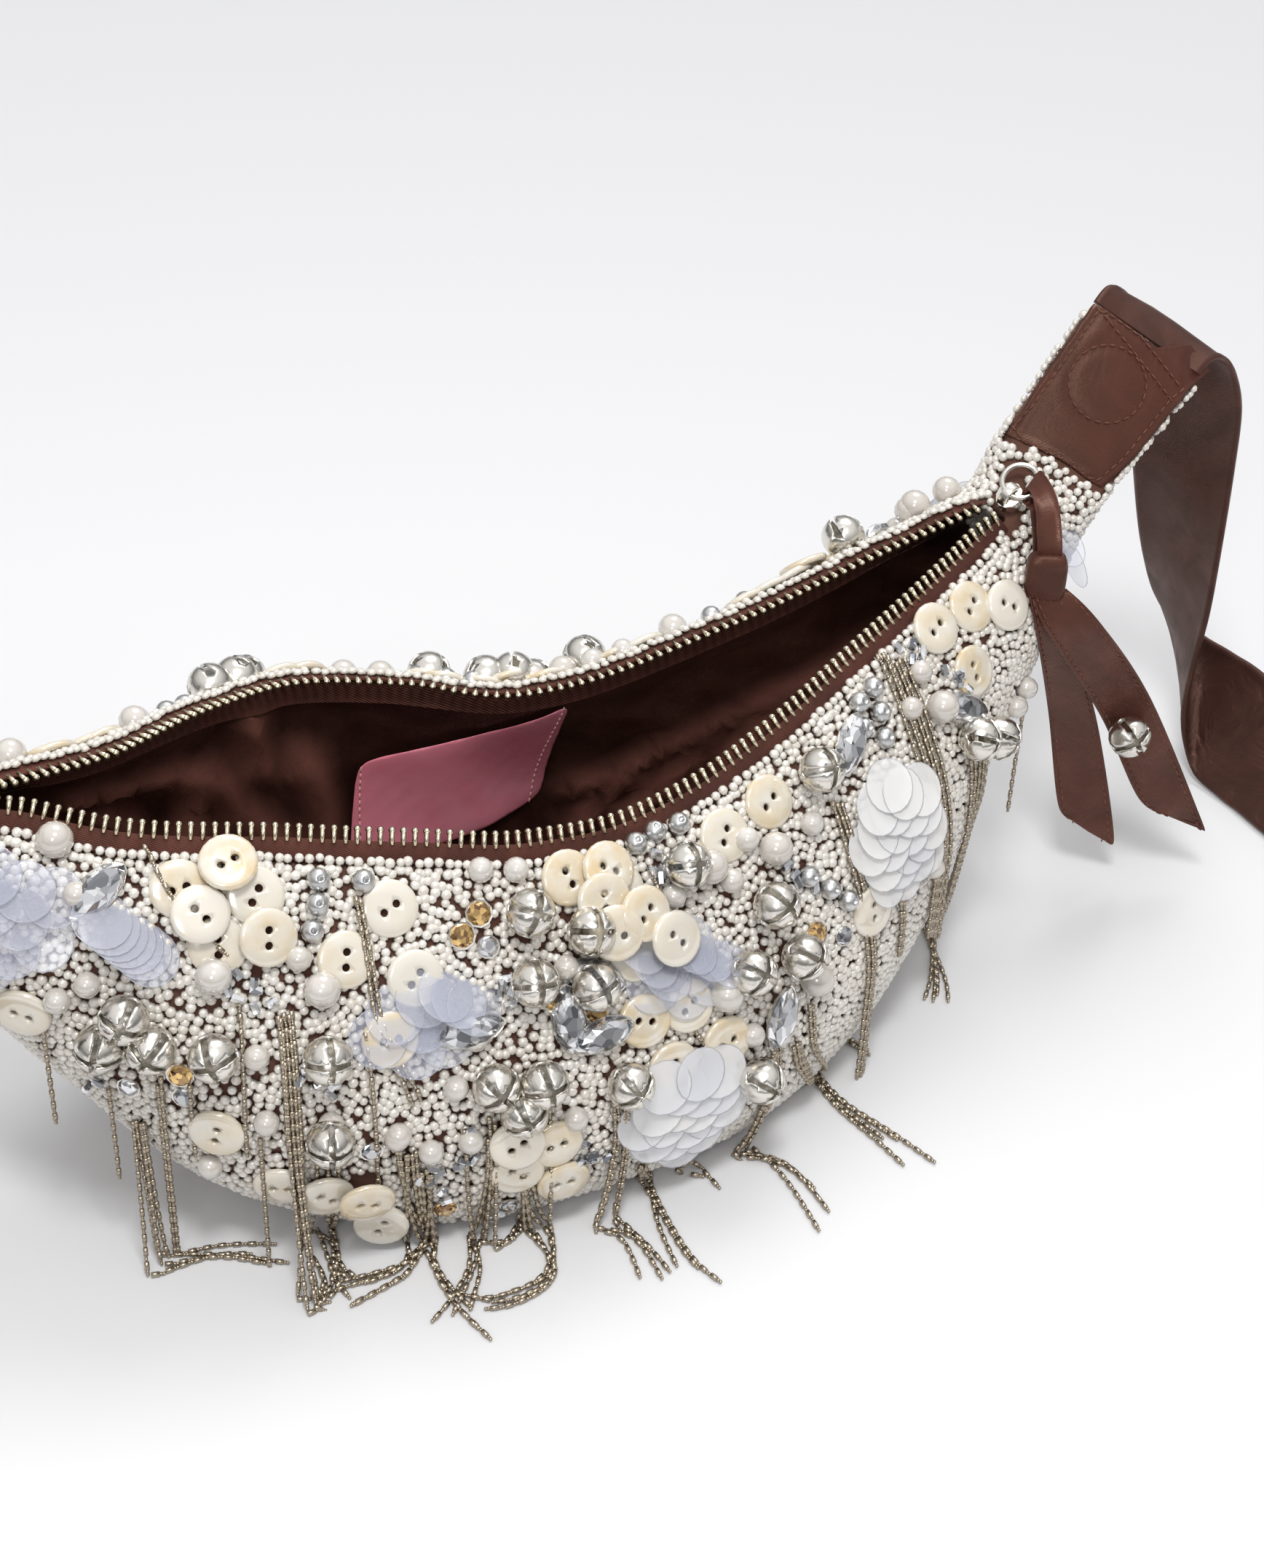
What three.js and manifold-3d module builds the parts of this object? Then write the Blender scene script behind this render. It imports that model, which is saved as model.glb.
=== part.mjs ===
// Crescent evening bag, standing open on its belly: a beaded cloth shell with a flat tab at each end,
// a satin lining, an open metal zip, a satin strap from tab to tab, a ribbon pull, a chain fringe, and
// the bells, buttons and marquise stones sewn on the shell.
// Millimetres, +Z up, +X to the bag's right end, +Y to its back. The origin is on the floor, under the mouth.

import * as THREE from 'three';
import { mergeVertices } from 'three/addons/utils/BufferGeometryUtils.js';
import Module from 'manifold-3d';

const wasm = await Module();
wasm.setup();

// Driving dimensions
const GAP = 0.3; // clearance between sewn pieces
const WALL = 3; // shell cloth with its layer of seed beads
const LINING_WALL = 1;
const STRAP_WALL = 1.6;
const RIBBON_WALL = 0.9;
const RIBBON_WIDE = 4.4; // round the ring
const TAB_END = 173; // x where the beaded tab ends
const CAVITY_END = 129.5; // x where the hollow of the shell ends
const LINING_END = 125;
const LINING_RIM = 1.2; // lining edge below the lips
const ZIP_END = 128; // x where the tapes and teeth end
const TAPE_WALL = 0.8;
const TOOTH_LONG = 2.4; // tooth row across the tape
const TOOTH_HIGH = 2.2;
const SLIDER_AT = 133.5; // x of the slider, on the right end only
const SLIDER_R = 3;
const SLIDER_HIGH = 3.4;
const SLIDER_LIFT = 3.4; // its underside above the lips
const RING_R = 4.4;
const RING_WIRE_R = 0.6;
const BELL_R = 5;
const BUTTON_R = 6;
const BUTTON_WALL = 1.8;
const BUTTON_HOLE_R = 0.8;
const STONE_LONG = 14;
const STONE_WIDE = 7;
const STONE_HIGH = 4.4;
const ROUND_SIDES = 10;

// Sections of the crescent, left tab to right tab. x, y, z: middle of the lip line. lean, turn, twist:
// degrees by which the section leans outwards, heads backwards and rolls its open side to the front.
// depth: lips to bottom. Then the y of each lip, belly and sole edge, how much higher the back lip is,
// and bellyAt, the share of the depth where the belly is widest.
const SECTION_COLUMNS = [
  'x', 'y', 'z', 'lean', 'turn', 'twist', 'depth', 'frontLip', 'backLip', 'backRise',
  'frontBelly', 'backBelly', 'bellyAt', 'frontSole', 'backSole',
];
const SECTION_ROWS = [
  [-173, 7, 139, -40, -13, 38, 3, -15.6, 15.6, 0, -16.2, 16.2, 0.4, -14, 14],
  [-150, 2, 119, -40, -13, 38, 3.2, -14, 14, 0, -14.6, 14.6, 0.4, -12.5, 12.5],
  [-143, 0.5, 113, -40, -11, 32, 9, -12, 12, 0.5, -14.5, 14.5, 0.4, -11, 11],
  [-133, 0, 106, -38, -6, 20, 22, -5, 4, 2, -17, 14, 0.4, -11, 8],
  [-122, 0, 102, -33, -2, 10, 33, -10, 8, 3, -23, 18, 0.45, -14, 8],
  [-100, 0, 97, -24, 0, 4, 55, -23, 13, 3, -37, 24, 0.52, -22, 8],
  [-70, 0, 91, -14, 0, 0, 82, -33, 27, 3, -58, 38, 0.58, -42, 8],
  [-45, 0, 86, -8, 0, 0, 88, -40, 34, 3, -68, 44, 0.62, -54, 8],
  [-20, 0, 82, -3, 0, 0, 87, -47, 28, 3, -75, 42, 0.66, -60, 8],
  [0, 0, 80, 0, 0, 0, 84, -48, 16, 3, -76, 36, 0.66, -61, 8],
  [20, 0, 81.5, 3, 0, 0, 86, -46, 11, 3, -74, 33, 0.66, -58, 8],
  [45, 0, 86, 8, 0, 0, 87, -40, 9, 3, -65, 31, 0.62, -49, 8],
  [70, 0, 91, 14, 0, 0, 77, -31, 8, 3, -51, 27, 0.56, -36, 8],
  [100, 0, 98, 24, 0, 4, 50, -19.5, 8, 3, -32, 21, 0.5, -19, 8],
  [122, 0, 103, 33, 2, 10, 32, -10, 8, 3, -22, 16, 0.45, -13, 8],
  [133, 0, 107, 38, 6, 20, 21, -5, 4, 2, -16, 13, 0.4, -10, 8],
  [143, 0.5, 113, 40, 11, 32, 9, -12, 12, 0.5, -14.5, 14.5, 0.4, -11, 11],
  [150, 2, 119, 40, 13, 38, 3.2, -14, 14, 0, -14.6, 14.6, 0.4, -12.5, 12.5],
  [173, 7, 139, 40, 13, 38, 3, -15.6, 15.6, 0, -16.2, 16.2, 0.4, -14, 14],
];

// Ridges that the satin lining folds into: x at the lips, how far the ridge drifts along x on its way
// round the section, its half width, and how far it stands into the hollow.
const FOLD_COLUMNS = ['x', 'drift', 'half', 'rise'];
const FOLD_ROWS = [
  [-96, 30, 9, 1.6],
  [-62, -34, 8, 2],
  [-26, 26, 10, 1.4],
  [58, -40, 12, 2.2],
  [92, -24, 9, 1.5],
];

// The strap's two edges, from the right tab over its fold, down to the floor and on to the front.
// back: the edge that leaves the tab's back corner. front: the other one, which lies on the floor first.
const STRAP_COLUMNS = ['backX', 'backY', 'backZ', 'frontX', 'frontY', 'frontZ'];
const STRAP_FALL = [
  [164.6, 18.2, 146.6, 182.8, -3.6, 132.9],
  [168.4, 19.5, 148.8, 187, -2.8, 135.4],
  [172.4, 20.6, 147.6, 192, -2, 134],
  [176.4, 21.8, 143, 196.4, -2, 128.8],
  [182, 24, 127, 200.6, -2, 117.5],
  [190, 26, 101, 204.6, 0.5, 97],
  [200, 29, 71, 205.6, 0.6, 72],
  [206, 30, 55, 205.8, 0.6, 52],
  [212, 29, 41, 205.4, 1.6, 34],
  [217.5, 25, 33.5, 205.4, 1.4, 16],
  [221.5, 16, 31, 206.4, -4, 3.2],
  [223.5, 6, 31, 207.8, -15, 0.8],
  [226, -8, 30, 208.6, -27, 0.8],
];
const STRAP_FLOOR = [
  [234, -48, 20, 208, -62, 0.8],
  [231, -98, 6, 196, -106, 0.8],
  [210, -148, 0.9, 180, -133, 0.8],
  [160, -212, 0.8, 137, -185, 0.8],
  [80, -262, 0.8, 70, -228, 0.8],
  [-20, -256, 0.8, -10, -222, 0.8],
  [-110, -212, 0.8, -92, -182, 0.8],
  [-185, -162, 0.9, -160, -138, 0.8],
  [-224, -104, 6, -190, -104, 0.8],
  [-234, -52, 20, -206, -62, 0.8],
];

// Locks of the chain fringe: x on the backing, the lock's width, the height of its lower end (0 lies
// on the floor) and where its lying end points.
const LOCK_COLUMNS = ['x', 'wide', 'endZ', 'endX', 'endY'];
const LOCK_ROWS = [
  [-96, 6, 0, -90, -56],
  [-72, 6, 0, -76, -84],
  [-50, 8, 0, -72, -80],
  [-38, 4, 0, -30, -84],
  [-28, 5, 0, -46, -96],
  [-16, 6, 0, -13, -104],
  [-3, 5, 0, -5, -108],
  [19, 6, 0, 26, -106],
  [42, 6, 0, 58, -96],
  [76, 6, 22, 90, -40],
  [93, 7, 0, 92, -54],
];
const LOCK_WALL = 1.2;
const BACKING_HIGH = 3;
const BACKING_AT = 0.62; // share of the way from the front lip to the sole
const BACKING_FROM = -110;
const BACKING_TO = 106;
const BACKING_STEPS = 20;

// Sewn-on pieces of the front: x of the section, share of the way from the front lip to the sole edge,
// and the spin in the surface, in degrees.
const TRIM_COLUMNS = ['x', 'down', 'spin'];
const BELL_ROWS = [
  [-98, 0.44, 20], [-84, 0.41, 50], [-67, 0.33, 10], [-25, 0.06, 60],
  [-13.5, 0.1, 35], [-27, 0.165, 80], [-15, 0.185, 15], [12, 0.05, 0],
  [29, 0.18, 65], [20, 0.255, 30], [32, 0.29, 50], [-11, 0.36, 5],
  [-28, 0.33, 70], [18, 0.46, 40], [50, 0.05, 10], [94, 0.48, 55],
];
const BUTTON_ROWS = [
  [-92, 0.055, 25], [-78, 0.055, 70], [-85, 0.17, 110], [-52, 0.06, 40], [-49, 0.17, 60], [-62, 0.15, 95],
  [-55, 0.28, 20], [-3, 0.05, 75], [-3, 0.155, 130], [25, 0.045, 45], [38, 0.045, 15], [6, 0.27, 30],
  [0.5, 0.375, 80], [13.2, 0.37, 10], [54, 0.38, 55], [107, 0.07, 20], [99, 0.26, 65],
];
const STONE_ROWS = [
  [-106, 0.1, 60], [-14, 0.27, 10], [-40, 0.25, 20], [26, 0.38, 50], [62, 0.07, 30], [92, 0.3, 120],
];

// Ribbon pull: the middle and half sizes of its knot, the two edges of each tail as points from the knot
// down, and the bell sewn before the second tail.
const KNOT = { x: 131.3, y: -19.2, z: 97.9, wide: 4.6, thick: 2.8, high: 6 };
const TAILS = [
  {
    back: [[128.9, -17.4, 95], [128.6, -23.4, 87], [140, -17.8, 54], [146.5, -20.5, 21.4]],
    front: [[133.7, -20.2, 95], [135, -24.2, 86], [151.5, -24.2, 50], [160.6, -28.6, 11.4]],
  },
  {
    back: [[129.5, -18.6, 94], [131, -24.8, 86.5], [150, -26, 55], [164.8, -32, 23.9]],
    front: [[134.3, -21.4, 95], [138.5, -25.8, 88], [158, -30.2, 58.5], [179.3, -40, 19.2]],
  },
];
const RIBBON_BELL = { x: 154.4, y: -34.5, z: 51.3 };

// Finishes: colour, roughness, metalness
const FINISHES = {
  beads: [0xe4e0d4, 0.35, 0],
  satin: [0x3d2019, 0.45, 0],
  tape: [0x3a211b, 0.8, 0],
  toothMetal: [0xbfb391, 0.3, 1],
  nickel: [0xc9cbcc, 0.2, 1],
  label: [0xa45f64, 0.7, 0],
  chain: [0x9a8a74, 0.3, 1],
  shell: [0xeee6cf, 0.25, 0],
  crystal: [0xdfe6ea, 0.05, 0],
};

const bag = new THREE.Group();

const named = (columns, rows) => rows.map((row) => Object.fromEntries(columns.map((key, i) => [key, row[i]])));
const SECTIONS = named(SECTION_COLUMNS, SECTION_ROWS);
const FOLDS = named(FOLD_COLUMNS, FOLD_ROWS);
const radians = THREE.MathUtils.degToRad;
const steps = (from, to, count) => Array.from({ length: count + 1 }, (_, i) => from + ((to - from) * i) / count);

function addPiece(name, geometry, finish) {
  const [color, roughness, metalness] = FINISHES[finish];
  const mesh = new THREE.Mesh(geometry, new THREE.MeshStandardMaterial({ color, roughness, metalness }));
  mesh.name = name;
  bag.add(mesh);
}

// Smooth, never overshooting curve through the rows of a table, by one of its columns.
function smoothColumn(rows, key, at, value) {
  let i = rows.findIndex((row, k) => k > 0 && at <= row[key]);
  if (i < 0) i = rows.length - 1;
  const slope = (k) => (rows[k][value] - rows[k - 1][value]) / (rows[k][key] - rows[k - 1][key]);
  const tangent = (k) => {
    if (k === 0 || k === rows.length - 1) return slope(Math.max(k, 1));
    const [a, b] = [slope(k), slope(k + 1)];
    return a * b <= 0 ? 0 : (2 * a * b) / (a + b);
  };
  const span = rows[i][key] - rows[i - 1][key];
  const t = THREE.MathUtils.clamp((at - rows[i - 1][key]) / span, 0, 1);
  const [t2, t3] = [t * t, t * t * t];
  return (2 * t3 - 3 * t2 + 1) * rows[i - 1][value] + (t3 - 2 * t2 + t) * span * tangent(i - 1)
    + (3 * t2 - 2 * t3) * rows[i][value] + (t3 - t2) * span * tangent(i);
}

function sectionAt(x) {
  const value = (key) => (key === 'x' ? x : smoothColumn(SECTIONS, 'x', x, key));
  return Object.fromEntries(SECTION_COLUMNS.map((key) => [key, value(key)]));
}

// The section's own axes: across (front to back) and down (from the lips to the bottom).
function axesAt(section) {
  const turn = new THREE.Matrix4().makeRotationZ(radians(section.turn));
  const lean = radians(section.lean);
  const down = new THREE.Vector3(Math.sin(lean), 0, -Math.cos(lean)).applyMatrix4(turn);
  const across = new THREE.Vector3(0, 1, 0).applyMatrix4(turn);
  const [c, s] = [Math.cos(radians(section.twist)), Math.sin(radians(section.twist))];
  return {
    down: down.clone().multiplyScalar(c).addScaledVector(across, s),
    across: across.clone().multiplyScalar(c).addScaledVector(down, -s),
  };
}

function sectionPoint(section, y, h, floor = 0) {
  const { across, down } = axesAt(section);
  const point = new THREE.Vector3(section.x, section.y, section.z);
  point.addScaledVector(across, y).addScaledVector(down, h);
  point.z = Math.max(point.z, floor);
  return point;
}

// One side of a section as y and h, from its lip (share 0) past the belly (0.5) to the sole edge (1).
function sideAt(section, side, share, inset = 0) {
  const inwards = side === 'front' ? inset : -inset;
  const lip = section[`${side}Lip`] + inwards;
  const belly = section[`${side}Belly`] + inwards;
  const sole = section[`${side}Sole`] + inwards / 3;
  const depth = section.depth - inset;
  const bellyH = depth * section.bellyAt;
  if (share <= 0.5) {
    const t = share * 2;
    const rise = side === 'back' ? section.backRise * (1 - t) : 0;
    return { y: lip + (belly - lip) * Math.sin((Math.PI / 2) * t), h: bellyH * t - rise };
  }
  const angle = (share - 0.5) * Math.PI;
  return { y: sole + (belly - sole) * Math.cos(angle), h: bellyH + (depth - bellyH) * Math.sin(angle) };
}

// The section's outline from the front lip round to the back lip, with an inset for the inner walls.
const SIDE_SHARES = [0, 0.16, 0.34, 0.52, 0.68, 0.84, 1];
function outlineAt(x, inset = 0) {
  const section = sectionAt(x);
  const front = SIDE_SHARES.map((share) => sideAt(section, 'front', share, inset));
  const back = SIDE_SHARES.map((share) => sideAt(section, 'back', share, inset)).reverse();
  return { section, outline: [...front, ...back] };
}

// The point of the outer front surface at a share of the way down, and its outward normal.
function frontSurface(x, share) {
  const at = (px, ps) => {
    const section = sectionAt(px);
    const { y, h } = sideAt(section, 'front', ps);
    return sectionPoint(section, y, h);
  };
  const point = at(x, share);
  const along = at(x + 0.5, share).sub(at(x - 0.5, share));
  const down = at(x, share + 0.01).sub(at(x, share - 0.01));
  return { point, normal: along.clone().cross(down).normalize().negate(), along: along.normalize() };
}

// Mesh helpers: a closed geometry from points and triangles, turned so that its faces point out.
function closedGeometry(points, triangles) {
  let volume = 0;
  for (const [a, b, c] of triangles) volume += points[a].dot(points[b].clone().cross(points[c]));
  const faces = volume < 0 ? triangles.map(([a, b, c]) => [a, c, b]) : triangles;
  const geometry = new THREE.BufferGeometry();
  geometry.setAttribute('position', new THREE.Float32BufferAttribute(points.flatMap((p) => p.toArray()), 3));
  geometry.setIndex(faces.flat());
  return geometry;
}

// A solid lofted through closed rings of equal count, each end closed on its middle.
function loft(rings) {
  const count = rings[0].length;
  const triangles = [];
  for (let r = 0; r + 1 < rings.length; r += 1) {
    for (let i = 0; i < count; i += 1) {
      const [a, b] = [r * count + i, r * count + ((i + 1) % count)];
      triangles.push([a, b, a + count], [b, b + count, a + count]);
    }
  }
  const last = (rings.length - 1) * count;
  const end = rings.length * count;
  for (let i = 0; i < count; i += 1) {
    const next = (i + 1) % count;
    triangles.push([end, next, i], [end + 1, last + i, last + next]);
  }
  const middle = (ring) => ring.reduce((sum, p) => sum.add(p), new THREE.Vector3()).divideScalar(count);
  return closedGeometry([...rings.flat(), middle(rings[0]), middle(rings.at(-1))], triangles);
}

// A wall between two sheets of equal rows and columns, closed along its four rims.
function wall(outer, inner) {
  const columns = outer[0].length;
  const size = outer.length * columns;
  const triangles = [];
  const quad = (a, b, c, d) => triangles.push([a, b, c], [a, c, d]);
  for (let r = 0; r + 1 < outer.length; r += 1) {
    const row = r * columns;
    for (let i = 0; i + 1 < columns; i += 1) {
      const [a, b] = [row + i, row + i + columns];
      triangles.push([a, a + 1, b], [a + 1, b + 1, b]);
      triangles.push([size + a, size + b, size + a + 1], [size + a + 1, size + b, size + b + 1]);
    }
    const end = row + columns - 1;
    quad(row, row + columns, size + row + columns, size + row);
    quad(end, size + end, size + end + columns, end + columns);
  }
  const lastRow = (outer.length - 1) * columns;
  for (let i = 0; i + 1 < columns; i += 1) {
    quad(i, size + i, size + i + 1, i + 1);
    quad(lastRow + i, lastRow + i + 1, size + lastRow + i + 1, size + lastRow + i);
  }
  return closedGeometry([...outer.flat(), ...inner.flat()], triangles);
}

// A wall of the given thickness on a middle sheet of points, kept above the floor.
function thicken(sheet, thickness) {
  const offset = (sign) => sheet.map((row, r) => row.map((point, i) => {
    const along = sheet[Math.min(r + 1, sheet.length - 1)][i].clone().sub(sheet[Math.max(r - 1, 0)][i]);
    const across = row[Math.min(i + 1, row.length - 1)].clone().sub(row[Math.max(i - 1, 0)]);
    const normal = along.cross(across).normalize();
    const moved = point.clone().addScaledVector(normal, (sign * thickness) / 2);
    moved.z = Math.max(moved.z, 0);
    return moved;
  }));
  return wall(offset(1), offset(-1));
}

function toManifold(geometry) {
  const bare = geometry.index ? geometry.clone() : geometry;
  bare.deleteAttribute('normal');
  bare.deleteAttribute('uv');
  const merged = mergeVertices(bare, 1e-4);
  return new wasm.Manifold(new wasm.Mesh({
    numProp: 3,
    vertProperties: new Float32Array(merged.attributes.position.array),
    triVerts: new Uint32Array(merged.index.array),
  }));
}

const FINEST = 0.01; // edges shorter than this are closed up after a boolean
function fromManifold(solid) {
  const { vertProperties, triVerts } = solid.simplify(FINEST).getMesh();
  const geometry = new THREE.BufferGeometry();
  geometry.setAttribute('position', new THREE.BufferAttribute(new Float32Array(vertProperties), 3));
  geometry.setIndex(new THREE.BufferAttribute(new Uint32Array(triVerts), 1));
  return geometry;
}

const join = (parts) => fromManifold(parts.map(toManifold).reduce((a, b) => a.add(b)));
const cut = (body, tools) => fromManifold(tools.map(toManifold).reduce((a, b) => a.subtract(b), toManifold(body)));

// Beaded shell: the whole crescent with its tabs, less the hollow, which runs out through the mouth.
const MOUTH_CLEAR = 16;
const LINING_XS = steps(-LINING_END, LINING_END, 24);
const TAB_XS = steps(134, TAB_END, 6);
function shell() {
  const xs = [...TAB_XS.map((x) => -x).reverse(), ...steps(-128, 128, 24), ...TAB_XS];
  const body = loft(xs.map((x) => {
    const { section, outline } = outlineAt(x);
    return outline.map(({ y, h }) => sectionPoint(section, y, h));
  }));
  const hollow = loft([-CAVITY_END, ...LINING_XS, CAVITY_END].map((x) => {
    const { section, outline } = outlineAt(x, WALL);
    const ring = [
      { y: outline[0].y, h: -MOUTH_CLEAR }, ...outline, { y: outline.at(-1).y, h: -MOUTH_CLEAR },
    ];
    return ring.map(({ y, h }) => sectionPoint(section, y, h, WALL));
  }));
  return cut(body, [hollow]);
}

// Satin lining: a wall just inside the hollow, with its folds standing inwards.
function foldRise(x, share) {
  return FOLDS.reduce((rise, fold) => {
    const off = (x - fold.x - fold.drift * share) / fold.half;
    return rise + fold.rise * Math.exp(-off * off) * Math.sin(Math.PI * Math.min(share, 1));
  }, 0);
}

function liningSheet(inset) {
  return LINING_XS.map((x) => {
    const { section, outline } = outlineAt(x);
    return outline.map((_, i) => {
      const last = outline.length - 1;
      const side = i <= last / 2 ? 'front' : 'back';
      const share = SIDE_SHARES[side === 'front' ? i : last - i];
      const deep = inset + (Math.abs(x) < LINING_END - 12 ? foldRise(x, i / last) : 0);
      const { y, h } = sideAt(section, side, share, deep);
      return sectionPoint(section, y, Math.max(h, LINING_RIM), deep);
    });
  });
}

// Zip: a tape on each lip that leans into the mouth, with its row of teeth along the inner edge.
const TAPES = {
  front: { from: [1.2, -0.8], to: [4.2, -4.6] },
  back: { from: [-1.2, -0.7], to: [-5.2, -1.9] },
};
const tapeLong = (side) => {
  const { from, to } = TAPES[side];
  return Math.hypot(to[0] - from[0], to[1] - from[1]);
};
const ZIP_STEPS = 32;
const ZIP_CLEAR = 3; // between the two rows of teeth where the mouth closes
function zipStrip(side, start, end, thickness) {
  const { from, to } = TAPES[side];
  const [dy, dh] = [to[0] - from[0], to[1] - from[1]];
  const long = Math.hypot(dy, dh);
  const reach = 2 * (tapeLong(side) + GAP + TOOTH_LONG);
  const half = thickness / 2;
  const corners = [[start, -half], [end, -half], [end, half], [start, half]];
  return loft(steps(-ZIP_END, ZIP_END, ZIP_STEPS).map((x) => {
    const section = sectionAt(x);
    const lip = sideAt(section, side, 0);
    const squeeze = Math.min(1, (section.backLip - section.frontLip - ZIP_CLEAR) / reach);
    return corners.map(([a, b]) => {
      const y = lip.y + (from[0] + (dy * a - dh * b) / long) * squeeze;
      const h = lip.h + from[1] + (dh * a + dy * b) / long;
      return sectionPoint(section, y, h);
    });
  }));
}


// Satin facing on the inner face of a tab, with the low round of the magnet under it.
const FACING_WALL = 1.2;
const MAGNET_R = 9.5;
const MAGNET_RISE = 0.7;
const MAGNET_AT = 161;
function tabFacing(side) {
  const sheet = (rise) => TAB_XS.slice(2).map((x) => {
    const section = sectionAt(side * x);
    return [-0.92, -0.46, 0, 0.46, 0.92].map((share) => sectionPoint(section, section.backLip * share, -GAP - rise));
  });
  const section = sectionAt(side * MAGNET_AT);
  const { down } = axesAt(section);
  const disc = new THREE.CylinderGeometry(MAGNET_R - 1, MAGNET_R, FACING_WALL + MAGNET_RISE - 0.2, 14);
  const turned = new THREE.Quaternion().setFromUnitVectors(new THREE.Vector3(0, 1, 0), down.clone().negate());
  const middle = sectionPoint(section, 0, -GAP - (FACING_WALL + MAGNET_RISE) / 2 - 0.1);
  disc.applyQuaternion(turned).translate(middle.x, middle.y, middle.z);
  return join([wall(sheet(0), sheet(FACING_WALL)), disc]);
}

// A strip of cloth between two edges, each a smooth curve through its points.
function strip(back, front, rowsPerPoint, columns, thickness) {
  const vectors = (points) => points.map((point) => new THREE.Vector3(...point));
  const curve = (points) => new THREE.CatmullRomCurve3(vectors(points), false, 'centripetal');
  const [backEdge, frontEdge] = [curve(back), curve(front)];
  const sheet = steps(0, 1, (back.length - 1) * rowsPerPoint).map((t) => {
    const [a, b] = [backEdge.getPoint(t), frontEdge.getPoint(t)];
    return steps(0, 1, columns).map((share) => a.clone().lerp(b, share));
  });
  return thicken(sheet, thickness);
}

// Shoulder strap from tab to tab, the left fall mirroring the right one.
function strap() {
  const mirrored = STRAP_FALL.map(([bx, by, bz, fx, fy, fz]) => [-bx, by, bz, -fx, fy, fz]).reverse();
  const rows = named(STRAP_COLUMNS, [...STRAP_FALL, ...STRAP_FLOOR, ...mirrored]);
  const edge = (name) => rows.map((row) => [row[`${name}X`], row[`${name}Y`], row[`${name}Z`]]);
  return strip(edge('back'), edge('front'), 2, 1, STRAP_WALL);
}

// Label: a slack patch of the lining's back wall, from the middle of the mouth downwards.
const LABEL = { from: -26, to: 17, topAt: 0.145, bottomAt: 0.52, slant: 0.19, wall: 0.8, slack: 2.4 };
const LABEL_STEPS = 6;
function label() {
  const inset = WALL + GAP + LINING_WALL + LABEL.slack;
  const sheet = (extra) => steps(LABEL.from, LABEL.to, LABEL_STEPS).map((x, r) => {
    const section = sectionAt(x);
    const lift = LABEL.slant * (r / LABEL_STEPS - 0.5);
    return steps(LABEL.topAt, LABEL.bottomAt, 4).map((share) => {
      const { y, h } = sideAt(section, 'back', share - lift, inset + extra);
      return sectionPoint(section, y, h);
    });
  });
  return wall(sheet(0), sheet(LABEL.wall));
}

// Chain fringe: flat locks that fall plumb from a backing sewn round the front, and lie out on the floor.
function backing() {
  const xs = steps(BACKING_FROM, BACKING_TO, BACKING_STEPS);
  return loft(xs.map((x) => {
    const { point, normal } = frontSurface(x, BACKING_AT);
    const at = (out, up) => point.clone().addScaledVector(normal, out).add(new THREE.Vector3(0, 0, up));
    const half = BACKING_HIGH / 2;
    return [at(GAP, -half), at(GAP + LOCK_WALL, -half), at(GAP + LOCK_WALL, half), at(GAP, half)];
  }));
}

function lock(row) {
  const { point, normal } = frontSurface(row.x, BACKING_AT);
  const top = point.clone().addScaledVector(normal, GAP + LOCK_WALL * 0.75);
  const out = new THREE.Vector3(normal.x, normal.y, 0).normalize();
  const hang = top.clone().addScaledVector(out, LOCK_WALL);
  const floorZ = LOCK_WALL / 2;
  const path = [top, new THREE.Vector3(hang.x, hang.y, hang.z - 3)];
  if (row.endZ > 0) path.push(new THREE.Vector3(hang.x, hang.y, row.endZ));
  else {
    path.push(new THREE.Vector3(hang.x, hang.y, 4), new THREE.Vector3(hang.x, hang.y - 2, floorZ));
    path.push(new THREE.Vector3(row.endX, row.endY, floorZ));
  }
  const side = out.clone().cross(new THREE.Vector3(0, 0, 1)).multiplyScalar(row.wide / 2);
  const rows = path.map((at, i) => {
    const fan = i === path.length - 1 && row.endZ === 0 ? 1.5 : 1;
    return [-1, 1].map((share) => at.clone().addScaledVector(side, share * fan));
  });
  return thicken(rows, LOCK_WALL);
}

function fringe() {
  return join([backing(), ...named(LOCK_COLUMNS, LOCK_ROWS).map(lock)]);
}

// Local axes on the mouth: +X along the bag to its end, +Y to the back, +Z out of the mouth.
function mouthMatrix(x) {
  const section = sectionAt(x);
  const { across, down } = axesAt(section);
  const up = down.clone().negate();
  return new THREE.Matrix4().makeBasis(across.clone().cross(up), across, up).setPosition(sectionPoint(section, 0, 0));
}

// Zip slider: a short rounded body with an arched bridge on top that the pull ring goes through.
const BRIDGE = { outer: 3.2, inner: 2.2, wide: 2, sunk: 0.2 };
const SLIDER_TOP = SLIDER_LIFT + SLIDER_HIGH;
function slider() {
  const body = new THREE.CylinderGeometry(SLIDER_R, SLIDER_R * 1.08, SLIDER_HIGH, 12).rotateX(Math.PI / 2);
  body.scale(1.15, 1, 1).translate(0, 0, SLIDER_LIFT + SLIDER_HIGH / 2);
  const arch = new THREE.Shape();
  arch.absarc(0, 0, BRIDGE.outer, 0, Math.PI, false).absarc(0, 0, BRIDGE.inner, Math.PI, 0, true);
  const bridge = new THREE.ExtrudeGeometry(arch, { depth: BRIDGE.wide, bevelEnabled: false, curveSegments: 6 });
  bridge.rotateX(Math.PI / 2).translate(0, BRIDGE.wide / 2, SLIDER_TOP - BRIDGE.sunk);
  return join([body, bridge]).applyMatrix4(mouthMatrix(SLIDER_AT));
}

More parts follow.
